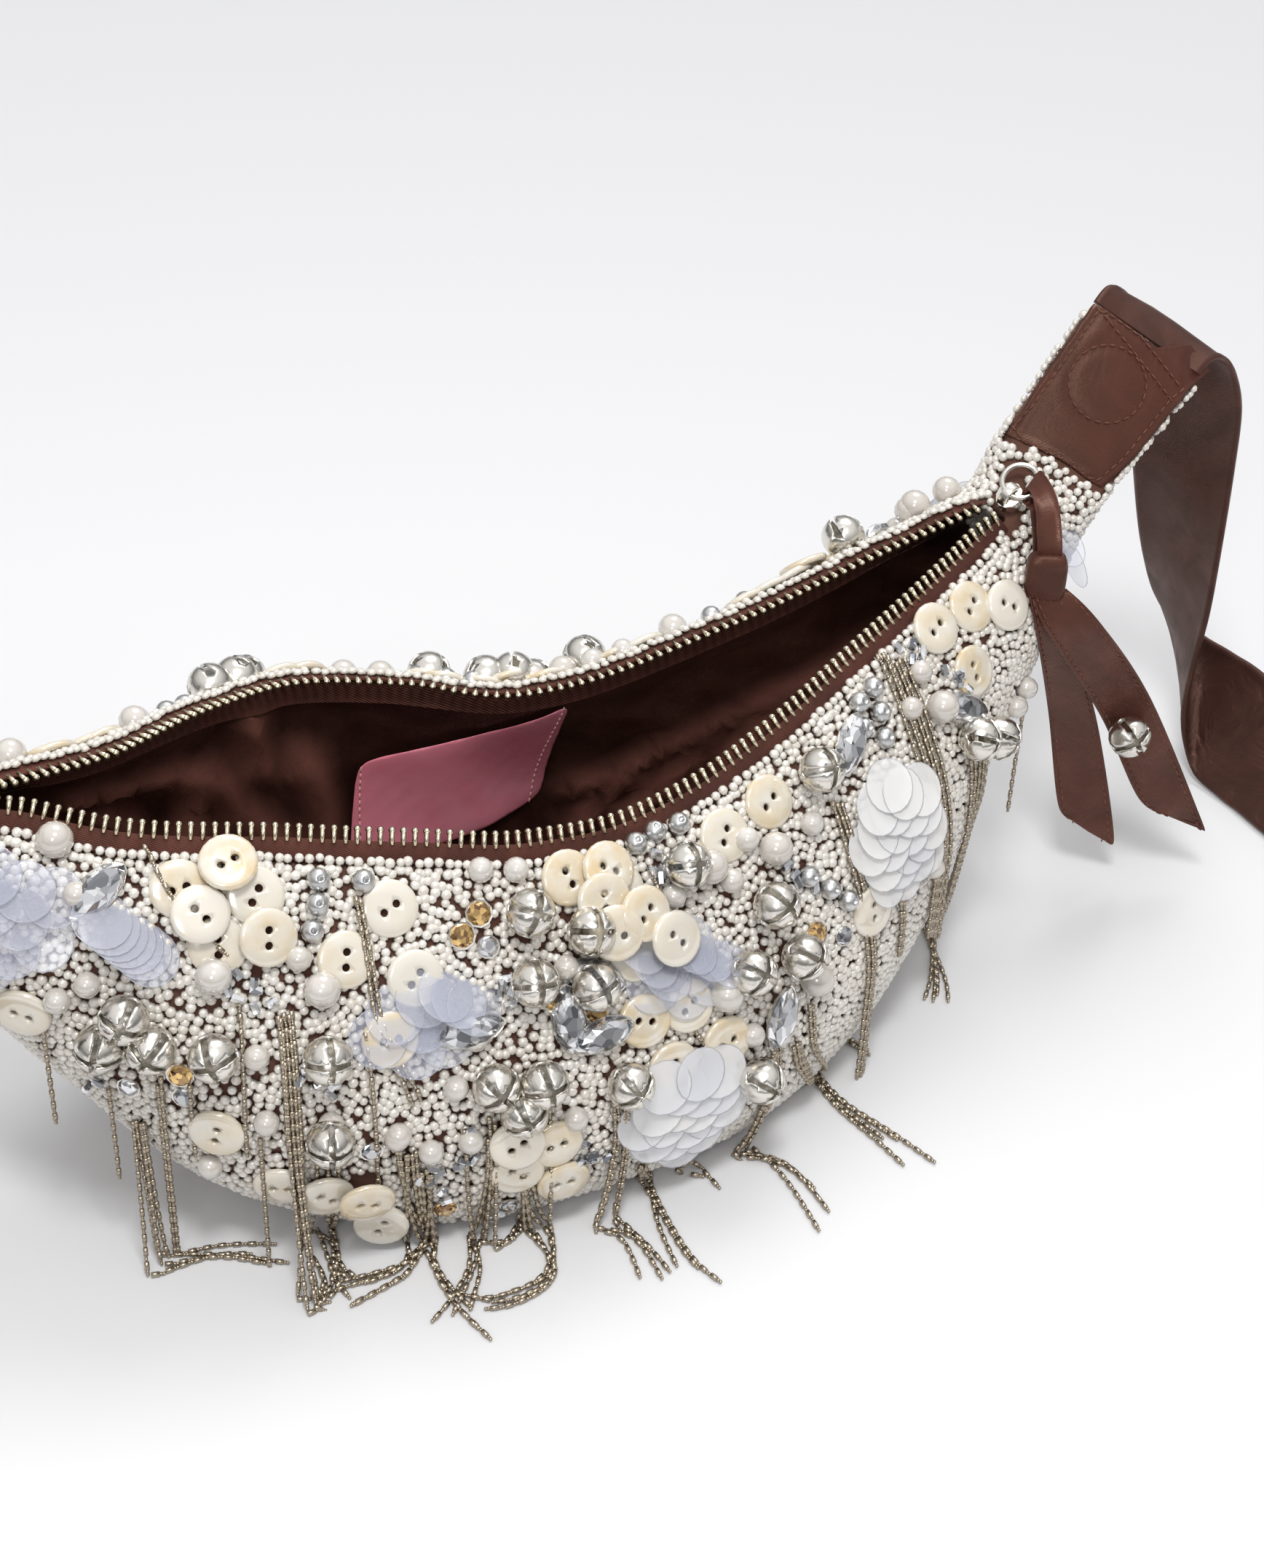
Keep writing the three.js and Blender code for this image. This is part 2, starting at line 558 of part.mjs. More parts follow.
// Pull ring: a wire ring through the bridge, tipped down towards the tab.
const RING_TIP = radians(10);
function ringMatrix() {
  const hinge = new THREE.Matrix4().makeTranslation(0, 0, SLIDER_TOP + (BRIDGE.inner - BRIDGE.sunk) / 2);
  const tip = new THREE.Matrix4().makeRotationY(RING_TIP);
  const out = new THREE.Matrix4().makeTranslation(RING_R, 0, 0);
  return mouthMatrix(SLIDER_AT).multiply(hinge).multiply(tip).multiply(out);
}

// Ribbon pull: looped round the front of the ring, knotted, with two tails cut on the slant.
const LOOP_R = 2.1;
const LOOP_TURN = radians(-72); // where on the ring the ribbon hangs
function ribbon() {
  const knotAt = new THREE.Vector3(KNOT.x, KNOT.y, KNOT.z);
  const ring = ringMatrix();
  const onRing = new THREE.Vector3(RING_R * Math.cos(LOOP_TURN), RING_R * Math.sin(LOOP_TURN), 0).applyMatrix4(ring);
  const wire = new THREE.Vector3(-Math.sin(LOOP_TURN), Math.cos(LOOP_TURN), 0).transformDirection(ring);
  const forward = new THREE.Vector3(wire.y, -wire.x, 0).normalize();
  const level = new THREE.Vector3(wire.x, wire.y, 0).normalize();
  const toKnot = knotAt.clone().sub(onRing);
  const [reach, drift, drop] = [toKnot.dot(forward), toKnot.dot(level), toKnot.z];
  const path = [
    [reach - 0.8, drop + 2], [reach * 0.7, drop * 0.45], [LOOP_R * 1.3, -LOOP_R],
    [0, -LOOP_R], [-LOOP_R * 0.7, -LOOP_R * 0.7], [-LOOP_R, 0], [-LOOP_R * 0.7, LOOP_R * 0.7], [0, LOOP_R],
    [reach * 0.55, 0.6], [reach * 0.95, drop * 0.4], [reach + 0.8, drop + 2],
  ];
  const edge = (sign) => path.map(([ahead, up]) => {
    const share = THREE.MathUtils.clamp(ahead / reach, 0, 1);
    const sideways = wire.clone().lerp(level, share).multiplyScalar((sign * RIBBON_WIDE) / 2);
    return onRing.clone().addScaledVector(forward, ahead).addScaledVector(level, drift * share)
      .add(sideways).add(new THREE.Vector3(0, 0, up)).toArray();
  });
  const knot = new THREE.SphereGeometry(1, ROUND_SIDES, 6).scale(KNOT.wide, KNOT.thick, KNOT.high);
  knot.rotateZ(Math.atan2(level.y, level.x)).translate(KNOT.x, KNOT.y, KNOT.z);
  const tails = TAILS.map(({ back, front }) => strip(back, front, 2, 1, RIBBON_WALL));
  return join([strip(edge(-1), edge(1), 1, 1, RIBBON_WALL), knot, ...tails]);
}

// Places a piece made with its base at the origin and +Z outwards on the front surface.
function seatOnFront(geometry, row, lift = GAP) {
  const { point, normal, along } = frontSurface(row.x, row.down);
  const up = normal.clone().cross(along).normalize();
  const side = up.clone().cross(normal);
  const basis = new THREE.Matrix4().makeBasis(side, up, normal);
  const spin = new THREE.Matrix4().makeRotationZ(radians(row.spin));
  const place = point.clone().addScaledVector(normal, lift);
  return geometry.applyMatrix4(basis.multiply(spin).setPosition(place));
}

// How far the flat facets of the shell lie below the smooth surface there, so that a ball can sit on them.
function facetDrop(row) {
  const { point, normal } = frontSurface(row.x, row.down);
  const ray = new THREE.Raycaster(point.clone().addScaledVector(normal, WALL), normal.clone().negate(), 0, 2 * WALL);
  return ray.intersectObject(bag.getObjectByName('bag_shell'))[0].distance - WALL;
}

// Jingle bell: a ball with crossed slots in its outer half, standing on its sewn side.
const BELL_RINGS = 5;
function bell(radius) {
  const ball = new THREE.SphereGeometry(radius, ROUND_SIDES, BELL_RINGS).rotateX(Math.PI / 2);
  const slots = [0, Math.PI / 2].map((turn) => new THREE.BoxGeometry(radius * 2.4, radius * 0.2, radius * 0.9)
    .rotateZ(turn).translate(0, 0, radius * 0.9));
  return cut(ball, [fromManifold(slots.map(toManifold).reduce((a, b) => a.add(b)))]).translate(0, 0, radius);
}

function ribbonBell() {
  const outwards = new THREE.Vector3(RIBBON_BELL.x, RIBBON_BELL.y, 0).cross(new THREE.Vector3(0, 0, -1)).normalize();
  const turned = new THREE.Quaternion().setFromUnitVectors(new THREE.Vector3(0, 0, 1), outwards);
  const ball = bell(BELL_R).translate(0, 0, -BELL_R).applyQuaternion(turned);
  return ball.translate(RIBBON_BELL.x, RIBBON_BELL.y, RIBBON_BELL.z);
}

function button() {
  const disc = new THREE.CylinderGeometry(BUTTON_R * 0.86, BUTTON_R, BUTTON_WALL, ROUND_SIDES).rotateX(Math.PI / 2);
  const holes = [-1, 1].map((side) => new THREE.CylinderGeometry(BUTTON_HOLE_R, BUTTON_HOLE_R, BUTTON_WALL * 2, 6)
    .rotateX(Math.PI / 2).translate(side * BUTTON_HOLE_R * 1.9, 0, 0));
  return cut(disc, holes).translate(0, 0, BUTTON_WALL / 2);
}

// Marquise stone: pointed oval girdle, a crown of facets up to a flat table, and a shallow back.
function marquise() {
  const outline = (scale, z) => steps(0, 2, ROUND_SIDES).slice(0, -1).map((turn) => {
    const angle = turn * Math.PI;
    const wide = Math.sign(Math.sin(angle)) * Math.abs(Math.sin(angle)) ** 1.35;
    return new THREE.Vector3((STONE_LONG / 2) * scale * Math.cos(angle), (STONE_WIDE / 2) * scale * wide, z);
  });
  return loft([outline(0.7, 0), outline(1, STONE_HIGH * 0.4), outline(0.55, STONE_HIGH)]);
}

addPiece('bag_shell', shell(), 'beads');
addPiece('lining', wall(liningSheet(WALL + GAP), liningSheet(WALL + GAP + LINING_WALL)), 'satin');
for (const side of ['front', 'back']) {
  const long = tapeLong(side);
  addPiece(`zip_tape_${side}`, zipStrip(side, 0, long, TAPE_WALL), 'tape');
  addPiece(`zip_teeth_${side}`, zipStrip(side, long + GAP, long + GAP + TOOTH_LONG, TOOTH_HIGH), 'toothMetal');
}
addPiece('tab_facing_right', tabFacing(1), 'satin');
addPiece('tab_facing_left', tabFacing(-1), 'satin');
addPiece('strap', strap(), 'satin');
addPiece('label', label(), 'label');
addPiece('fringe', fringe(), 'chain');
addPiece('zip_slider', slider(), 'nickel');
addPiece('pull_ring', new THREE.TorusGeometry(RING_R, RING_WIRE_R, 6, 14).applyMatrix4(ringMatrix()), 'nickel');
addPiece('pull_ribbon', ribbon(), 'satin');
addPiece('ribbon_bell', ribbonBell(), 'nickel');

const numbered = (kind, i) => `${kind}_${String(i + 1).padStart(2, '0')}`;
named(TRIM_COLUMNS, BELL_ROWS).forEach((row, i) => {
  addPiece(numbered('bell', i), seatOnFront(bell(BELL_R), row, GAP - facetDrop(row)), 'nickel');
});
named(TRIM_COLUMNS, BUTTON_ROWS).forEach((row, i) => {
  addPiece(numbered('button', i), seatOnFront(button(), row), 'shell');
});
named(TRIM_COLUMNS, STONE_ROWS).forEach((row, i) => {
  addPiece(numbered('stone', i), seatOnFront(marquise(), row), 'crystal');
});

export default bag;
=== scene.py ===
# %% [markdown]
# # A beaded crescent evening bag
# The CAD frame holds the real sizes: a hollow crescent that stands open on its belly, its lining, zip,
# tabs, strap, ribbon pull, chain fringe, and the larger bells, buttons and stones. This lesson dresses
# that frame. Cloth becomes satin with folds and stitches, and the plain outer wall becomes thousands of
# seed pearls with everything that is sewn between them.

import math
import random

import bmesh
import bpy
import numpy as np
from mathutils import Matrix, Vector, noise
from mathutils.bvhtree import BVHTree


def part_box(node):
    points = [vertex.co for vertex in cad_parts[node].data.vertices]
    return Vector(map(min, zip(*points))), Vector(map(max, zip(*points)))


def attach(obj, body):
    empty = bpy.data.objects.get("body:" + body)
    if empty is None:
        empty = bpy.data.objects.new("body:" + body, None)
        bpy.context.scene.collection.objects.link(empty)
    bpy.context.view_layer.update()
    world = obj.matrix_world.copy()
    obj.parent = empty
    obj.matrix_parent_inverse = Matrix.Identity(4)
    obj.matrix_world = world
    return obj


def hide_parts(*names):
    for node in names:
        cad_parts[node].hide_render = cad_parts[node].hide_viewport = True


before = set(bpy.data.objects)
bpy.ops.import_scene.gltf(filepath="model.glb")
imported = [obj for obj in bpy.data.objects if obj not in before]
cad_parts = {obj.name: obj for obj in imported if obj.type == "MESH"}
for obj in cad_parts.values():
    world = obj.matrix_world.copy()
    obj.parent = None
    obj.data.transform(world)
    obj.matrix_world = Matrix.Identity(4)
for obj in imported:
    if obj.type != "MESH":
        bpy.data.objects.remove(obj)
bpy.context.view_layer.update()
MM = 0.001
UP = Vector((0, 0, 1))
rng = random.Random(11)

# %% [markdown]
# ## Camera, floor and light
# The photograph looks down on the bag from its front left. Its camera was found by matching points of
# known height, such as the zip and the floor. The image is taken as 1736 by 2154 pixels, and a pixel can
# be turned back into a ray, which later places the trim exactly where the photograph shows it.

# %% Camera
IMAGE = (1736, 2154)
FOCAL_PX = 3650
EYE = Vector((-0.221, -0.438, 0.450))
AZIMUTH = math.radians(-29.8)
ELEVATION = math.radians(38)
ROLL = math.radians(2.38)

forward = -Vector((math.sin(AZIMUTH) * math.cos(ELEVATION), -math.cos(AZIMUTH) * math.cos(ELEVATION),
                   math.sin(ELEVATION)))
level = Vector((math.cos(AZIMUTH), math.sin(AZIMUTH), 0))
upright = level.cross(forward)
CAM_RIGHT = level * math.cos(ROLL) + upright * math.sin(ROLL)
CAM_UP = upright * math.cos(ROLL) - level * math.sin(ROLL)

SENSOR_MM = 36


def link_object(name, data):
    obj = bpy.data.objects.new(name, data)
    bpy.context.scene.collection.objects.link(obj)
    return obj


camera_data = bpy.data.cameras.new("camera")
camera_data.sensor_fit = "VERTICAL"
camera_data.sensor_height = SENSOR_MM
camera_data.lens = SENSOR_MM * FOCAL_PX / IMAGE[1]
camera_data.clip_start = 0.01
camera = link_object("camera", camera_data)
camera.matrix_world = Matrix((CAM_RIGHT, CAM_UP, -forward)).transposed().to_4x4()
camera.location = EYE
bpy.context.scene.camera = camera


def pixel_ray(px, py):
    across = (px - IMAGE[0] / 2) / FOCAL_PX
    upwards = (IMAGE[1] / 2 - py) / FOCAL_PX
    return (forward + CAM_RIGHT * across + CAM_UP * upwards).normalized()


def to_pixel(point):
    offset = point - EYE
    depth = offset.dot(forward)
    return (IMAGE[0] / 2 + FOCAL_PX * offset.dot(CAM_RIGHT) / depth,
            IMAGE[1] / 2 - FOCAL_PX * offset.dot(CAM_UP) / depth)


print("camera lens", round(camera_data.lens, 2), "mm")

# %% Floor, sky and lamps
view = bpy.context.scene.view_settings
view.view_transform = "Standard"
view.look = "None"


def srgb(red, green, blue):
    linear = [((c / 255 + 0.055) / 1.055) ** 2.4 for c in (red, green, blue)]
    return (*linear, 1.0)


def plain_shader(name, **numbers):
    """A material with plain numbers and colours on its Principled shader's own sockets."""
    material = bpy.data.materials.new(name)
    material.use_nodes = True
    shader = material.node_tree.nodes["Principled BSDF"]
    for label, value in numbers.items():
        shader.inputs[label.replace("_", " ")].default_value = value
    return material, shader, material.node_tree


def add_node(tree, kind, inputs=None, **settings):
    """A new node with its settings; each input is a plain value or the output of another node."""
    node = tree.nodes.new(kind)
    for label, value in settings.items():
        setattr(node, label, value)
    for label, value in (inputs or {}).items():
        if isinstance(value, bpy.types.NodeSocket):
            tree.links.new(value, node.inputs[label])
        else:
            node.inputs[label].default_value = value
    return node


FLOOR_HALF = 4.0
FLOOR_CORNERS = ((-1, -1), (1, -1), (1, 1), (-1, 1))
floor_mesh = bpy.data.meshes.new("floor")
floor_mesh.from_pydata([(x * FLOOR_HALF, y * FLOOR_HALF, 0) for x, y in FLOOR_CORNERS], [], [(0, 1, 2, 3)])
floor = link_object("floor", floor_mesh)
floor_paint, _, _ = plain_shader("pale_floor", Base_Color=srgb(219, 219, 220), Roughness=0.9,
                                 Specular_IOR_Level=0.1)
floor_mesh.materials.append(floor_paint)

world = bpy.data.worlds.new("studio")
bpy.context.scene.world = world
world.use_nodes = True
sky = world.node_tree
sky_coord = add_node(sky, "ShaderNodeTexCoord")
sky_split = add_node(sky, "ShaderNodeSeparateXYZ", {"Vector": sky_coord.outputs["Generated"]})
sky_ramp = add_node(sky, "ShaderNodeValToRGB", {"Fac": sky_split.outputs["Z"]})
SKY_STOPS = [(0.0, 0.12), (0.16, 0.18), (0.42, 0.52), (0.75, 0.9)]
for index, (height, grey) in enumerate(SKY_STOPS):
    stop = sky_ramp.color_ramp.elements[index] if index < 2 else sky_ramp.color_ramp.elements.new(height)
    stop.position = height
    stop.color = (grey, grey, grey * 1.01, 1)
sky.links.new(sky_ramp.outputs["Color"], sky.nodes["Background"].inputs["Color"])
sky.nodes["Background"].inputs["Strength"].default_value = 1.0


def lamp(name, kind, place, aim, power, size):
    data = bpy.data.lights.new(name, kind)
    data.energy = power
    if kind == "SUN":
        data.angle = size
    else:
        data.size = size
    obj = link_object(name, data)
    obj.location = place
    obj.rotation_euler = (Vector(aim) - Vector(place)).to_track_quat("-Z", "Y").to_euler()


lamp("window_light", "SUN", (0.9, 1.0, 2.2), (0, 0, 0), 1.0, math.radians(30))
lamp("front_softbox", "AREA", (-0.9, -1.2, 1.2), (0, -0.02, 0.05), 3.9, 0.4)
lamp("mouth_light", "AREA", (-0.12, -0.3, 0.8), (0.02, 0.02, 0.06), 3.2, 0.16)
print("floor, sky and lamps ready")

# %% [markdown]
# ## Small helpers
# Each finished piece sits at the origin with its place in its mesh, like the CAD nodes. `bake` turns a
# piece with modifiers into a plain mesh, and `dress` gives it its material and its body.

# %% Mesh helpers


def smooth_faces(mesh, smooth=True):
    mesh.polygons.foreach_set("use_smooth", [smooth] * len(mesh.polygons))


def new_object(name, points, faces, smooth=True, edges=()):
    mesh = bpy.data.meshes.new(name)
    mesh.from_pydata([tuple(point) for point in points], edges, faces)
    smooth_faces(mesh, smooth)
    return link_object(name, mesh)


def from_bmesh(name, bm, smooth=True):
    mesh = bpy.data.meshes.new(name)
    bm.to_mesh(mesh)
    bm.free()
    smooth_faces(mesh, smooth)
    return link_object(name, mesh)


def bmesh_of(obj):
    bm = bmesh.new()
    bm.from_mesh(obj.data)
    return bm


def merged_node(node):
    bm = bmesh_of(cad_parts[node])
    bmesh.ops.remove_doubles(bm, verts=bm.verts, dist=2e-6)
    return bm


def node_points(node):
    bm = merged_node(node)
    points = np.array([vert.co[:] for vert in bm.verts])
    bm.free()
    return points


def bake(obj):
    depsgraph = bpy.context.evaluated_depsgraph_get()
    mesh = bpy.data.meshes.new_from_object(obj.evaluated_get(depsgraph), depsgraph=depsgraph)
    obj.modifiers.clear()
    old = obj.data
    obj.data = mesh
    bpy.data.meshes.remove(old)
    return obj


def subdivide(obj, levels):
    modifier = obj.modifiers.new("round", "SUBSURF")
    modifier.levels = levels
    modifier.render_levels = levels
    bake(obj)
    smooth_faces(obj.data)
    return obj


def tree_of(obj):
    bm = bmesh_of(obj)
    tree = BVHTree.FromBMesh(bm)
    bm.free()
    return tree


def faces_out(obj):
    """The same closed piece, with all its faces turned outwards."""
    bm = bmesh_of(obj)
    bmesh.ops.recalc_face_normals(bm, faces=bm.faces)
    bm.to_mesh(obj.data)
    bm.free()
    return obj


def mark(obj, name, values):
    """Stores one number per point, for a material or a node tree to read."""
    obj.data.attributes.new(name, "FLOAT", "POINT").data.foreach_set("value", values)


def dress(obj, material, slot, *nodes):
    obj.data.materials.clear()
    obj.data.materials.append(material)
    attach(obj, "root")
    if nodes:
        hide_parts(*nodes)
    print(obj.name, "triangles:", sum(len(face.vertices) - 2 for face in obj.data.polygons))
    return obj


def drop(*objects):
    for obj in objects:
        bpy.data.objects.remove(obj)


# %% [markdown]
# ## Finishes
# Four effects come back in several materials, so each is a shader node group. `tone_drift` lets a colour
# wander between two tones, `satin_twill` gives fine diagonal ribs and a slow mottling, which in the satin
# lightens the colour where the cloth is glossier, partly tone and partly painted sheen, `brushed_streaks`
# gives metal its polishing marks, and the fourth paints a stone's foil colour in bright and dark cells:
# painted glints and painted shade that stand in for the facets behind a cut stone. The shaders stay in
# the materials.

# %% Shared shader groups


def shader_group(name, inputs, outputs):
    tree = bpy.data.node_groups.new(name, "ShaderNodeTree")
    for label, kind, value in inputs:
        tree.interface.new_socket(label, in_out="INPUT", socket_type=kind).default_value = value
    for label, kind in outputs:
        tree.interface.new_socket(label, in_out="OUTPUT", socket_type=kind)
    return tree, tree.nodes.new("NodeGroupInput"), tree.nodes.new("NodeGroupOutput")


def colour_mix(tree, share, first, second):
    blend = add_node(tree, "ShaderNodeMix", {"Factor": share, "A": first, "B": second}, data_type="RGBA")
    return blend.outputs["Result"]


def make_tone_drift():
    tree, given, result = shader_group(
        "tone_drift",
        [("Scale", "NodeSocketFloat", 200.0), ("Light", "NodeSocketColor", (1, 1, 1, 1)),
         ("Dark", "NodeSocketColor", (0, 0, 0, 1))],
        [("Color", "NodeSocketColor")])
    coord = add_node(tree, "ShaderNodeTexCoord")
    cloud = add_node(tree, "ShaderNodeTexNoise",
                     {"Vector": coord.outputs["Object"], "Scale": given.outputs["Scale"], "Detail": 3})
    spread = add_node(tree, "ShaderNodeMapRange",
                      {"Value": cloud.outputs["Fac"], "From Min": 0.32, "From Max": 0.68})
    colour = colour_mix(tree, spread.outputs["Result"], given.outputs["Dark"], given.outputs["Light"])
    tree.links.new(colour, result.inputs["Color"])
    return tree


def make_satin_twill():
    tree, given, result = shader_group(
        "satin_twill",
        [("Ribs", "NodeSocketFloat", 1400.0), ("Mottle", "NodeSocketFloat", 60.0)],
        [("Height", "NodeSocketFloat"), ("Sheen mottling", "NodeSocketFloat")])
    coord = add_node(tree, "ShaderNodeTexCoord")
    ribs = add_node(tree, "ShaderNodeTexWave",
                    {"Vector": coord.outputs["Object"], "Scale": given.outputs["Ribs"], "Distortion": 1.2,
                     "Detail": 1}, bands_direction="DIAGONAL")
    # The slow mottling: in the satin it lightens the colour where it makes the cloth glossier, partly tone
    # that differs at random and partly painted sheen.
    cloud = add_node(tree, "ShaderNodeTexNoise",
                     {"Vector": coord.outputs["Object"], "Scale": given.outputs["Mottle"], "Detail": 4,
                      "Distortion": 0.8})
    spread = add_node(tree, "ShaderNodeMapRange",
                      {"Value": cloud.outputs["Fac"], "From Min": 0.35, "From Max": 0.7})
    tree.links.new(ribs.outputs["Fac"], result.inputs["Height"])
    tree.links.new(spread.outputs["Result"], result.inputs["Sheen mottling"])
    return tree


def make_brushed_streaks():
    tree, given, result = shader_group(
        "brushed_streaks",
        [("Scale", "NodeSocketFloat", 400.0), ("Smooth", "NodeSocketFloat", 0.12),
         ("Rough", "NodeSocketFloat", 0.34)],
        [("Height", "NodeSocketFloat"), ("Roughness", "NodeSocketFloat")])
    coord = add_node(tree, "ShaderNodeTexCoord")
    stretch = add_node(tree, "ShaderNodeMapping", {"Vector": coord.outputs["Object"], "Scale": (9, 1, 3)})
    marks = add_node(tree, "ShaderNodeTexNoise",
                     {"Vector": stretch.outputs["Vector"], "Scale": given.outputs["Scale"], "Detail": 3})
    spread = add_node(tree, "ShaderNodeMapRange",
                      {"Value": marks.outputs["Fac"], "To Min": given.outputs["Smooth"],
                       "To Max": given.outputs["Rough"]})
    tree.links.new(marks.outputs["Fac"], result.inputs["Height"])
    tree.links.new(spread.outputs["Result"], result.inputs["Roughness"])
    return tree


# Bright cells are painted glints and reflections, dark cells painted shade: they stand in for the light that
# the facets behind a cut stone send back.
def make_painted_facet_glints():
    tree, given, result = shader_group(
        "painted_facet_glints",
        [("Scale", "NodeSocketFloat", 700.0), ("Light", "NodeSocketColor", (1, 1, 1, 1)),
         ("Dark", "NodeSocketColor", (0, 0, 0, 1))],
        [("Color", "NodeSocketColor")])
    coord = add_node(tree, "ShaderNodeTexCoord")
    cells = add_node(tree, "ShaderNodeTexVoronoi",
                     {"Vector": coord.outputs["Object"], "Scale": given.outputs["Scale"]})
    grey = add_node(tree, "ShaderNodeSeparateColor", {"Color": cells.outputs["Color"]})
    colour = colour_mix(tree, grey.outputs["Red"], given.outputs["Dark"], given.outputs["Light"])
    tree.links.new(colour, result.inputs["Color"])
    return tree


TONE_DRIFT = make_tone_drift()
PAINTED_FACET_GLINTS = make_painted_facet_glints()
SATIN_TWILL = make_satin_twill()
BRUSHED_STREAKS = make_brushed_streaks()
print("shader groups:", TONE_DRIFT.name, SATIN_TWILL.name, BRUSHED_STREAKS.name, PAINTED_FACET_GLINTS.name)

# %% [markdown]
# Each material is a short function. It starts from `plain_shader`, which made the floor's paint too, and
# adds the groups with their values. Helpers read a stored number and add a bump.

# %% Material helpers


def place_group(tree, group, **values):
    return add_node(tree, "ShaderNodeGroup", values, node_tree=group)


def stored(tree, name):
    """The number that a piece stores at each point under a name."""
    return add_node(tree, "ShaderNodeAttribute", attribute_name=name).outputs["Fac"]


def add_bump(tree, shader, height, strength, distance, under=None):
    inputs = {"Strength": strength, "Distance": distance, "Height": height}
    if under is not None:
        inputs["Normal"] = under.outputs["Normal"]
    bump = add_node(tree, "ShaderNodeBump", inputs)
    tree.links.new(bump.outputs["Normal"], shader.inputs["Normal"])
    return bump


# %% Cloth materials


FAINT_MOTTLE = 0.25
ROUGHNESS_SWING = 0.08
RIB_DEPTH = 0.2 * MM


def satin(name, light, dark, roughness, ribs, mottle, bump, crush=0.0, where=None, painted_fold_sheen=None):
    """Satin with ribs and a mottling that is partly tone and partly painted sheen. Crush is the depth of its
    creases.

    Where names an attribute that is one where the creases lie. The last argument names an attribute that
    is one on the backs of the folds: there the colour is lightened as painted sheen, elsewhere it stays dark.
    """
    material, shader, tree = plain_shader(
        name, Specular_IOR_Level=0.55, Sheen_Weight=0.08, Sheen_Roughness=0.4, Sheen_Tint=srgb(190, 130, 105),
        Specular_Tint=srgb(255, 205, 180))
    twill = place_group(tree, SATIN_TWILL, Ribs=ribs, Mottle=mottle)
    sheen_mottling = twill.outputs["Sheen mottling"]
    tone_and_sheen = sheen_mottling
    if painted_fold_sheen is not None:
        faint = add_node(tree, "ShaderNodeMath", {0: sheen_mottling, 1: FAINT_MOTTLE}, operation="MULTIPLY")
        painted_sheen_backs = add_node(tree, "ShaderNodeMath", {0: faint.outputs["Value"], 1: stored(tree, painted_fold_sheen)},
                         operation="ADD", use_clamp=True)
        tone_and_sheen = painted_sheen_backs.outputs["Value"]
    # Base colour: lighter on the mottling's glossy patches and on the backs of folds, partly tone and partly
    # painted sheen.
    tree.links.new(colour_mix(tree, tone_and_sheen, dark, light), shader.inputs["Base Color"])
    spread = add_node(tree, "ShaderNodeMapRange",
                      {"Value": sheen_mottling, "To Min": roughness + ROUGHNESS_SWING,
                       "To Max": roughness - ROUGHNESS_SWING})
    tree.links.new(spread.outputs["Result"], shader.inputs["Roughness"])
    creases = sheen_mottling
    if where is not None:
        masked = add_node(tree, "ShaderNodeMath", {0: sheen_mottling, 1: stored(tree, where)}, operation="MULTIPLY")
        creases = masked.outputs["Value"]
    crushed = add_bump(tree, shader, creases, 1.0, crush) if crush else None
    add_bump(tree, shader, twill.outputs["Height"], bump, RIB_DEPTH, crushed)
    return material


# The light colour is the painted sheen on the backs of the folds; the near-black one is painted shade between
# them.
LINING_SATIN = satin("lining_satin", srgb(120, 77, 67), srgb(9, 5, 4), 0.28, 1500, 45, 0.3, 0.0003,
                     painted_fold_sheen="painted_fold_sheen")
STRAP_SATIN = satin("strap_satin", srgb(70, 43, 38), srgb(48, 28, 25), 0.42, 1700, 70, 0.2, 0.0009,
                    where="crushed")
FACING_SATIN = satin("facing_satin", srgb(82, 47, 39), srgb(56, 31, 26), 0.28, 1300, 55, 0.35, 0.0002)
RIBBON_SATIN = satin("ribbon_satin", srgb(88, 50, 41), srgb(60, 33, 27), 0.3, 1100, 55, 0.4, 0.0003)
ZIP_TAPE = satin("zip_tape", srgb(84, 47, 41), srgb(62, 34, 30), 0.7, 900, 90, 0.8)
GROUND_CLOTH = satin("ground_cloth", srgb(100, 70, 60), srgb(74, 48, 41), 0.6, 1500, 80, 0.4)
LABEL_WEAVE = satin("label_weave", srgb(255, 160, 178), srgb(248, 140, 160), 0.5, 1900, 40, 0.35)
STITCH_THREAD = satin("stitch_thread", srgb(112, 72, 60), srgb(88, 54, 45), 0.55, 3000, 200, 0.3)
PINK_THREAD = satin("pink_thread", srgb(255, 208, 206), srgb(244, 186, 188), 0.6, 3000, 200, 0.3)
print("cloth materials made")

# %% Bead, shell, metal and stone materials


def pearly(name, warm, cool, roughness, drift_scale):
    material, shader, tree = plain_shader(name, Roughness=roughness, Coat_Weight=1.0, Coat_Roughness=0.08,
                                          Coat_IOR=1.9, Specular_IOR_Level=0.8)
    drift = place_group(tree, TONE_DRIFT, Scale=drift_scale, Light=cool, Dark=warm)
    colour = colour_mix(tree, stored(tree, "shade"), warm, drift.outputs["Color"])
    tree.links.new(colour, shader.inputs["Base Color"])
    return material


STREAK_DEPTH = 0.1 * MM


def metal(name, colour, smooth, rough, scale, bump):
    material, shader, tree = plain_shader(name, Base_Color=colour, Metallic=1.0)
    streaks = place_group(tree, BRUSHED_STREAKS, Scale=scale, Smooth=smooth, Rough=rough)
    tree.links.new(streaks.outputs["Roughness"], shader.inputs["Roughness"])
    add_bump(tree, shader, streaks.outputs["Height"], bump, STREAK_DEPTH)
    return material


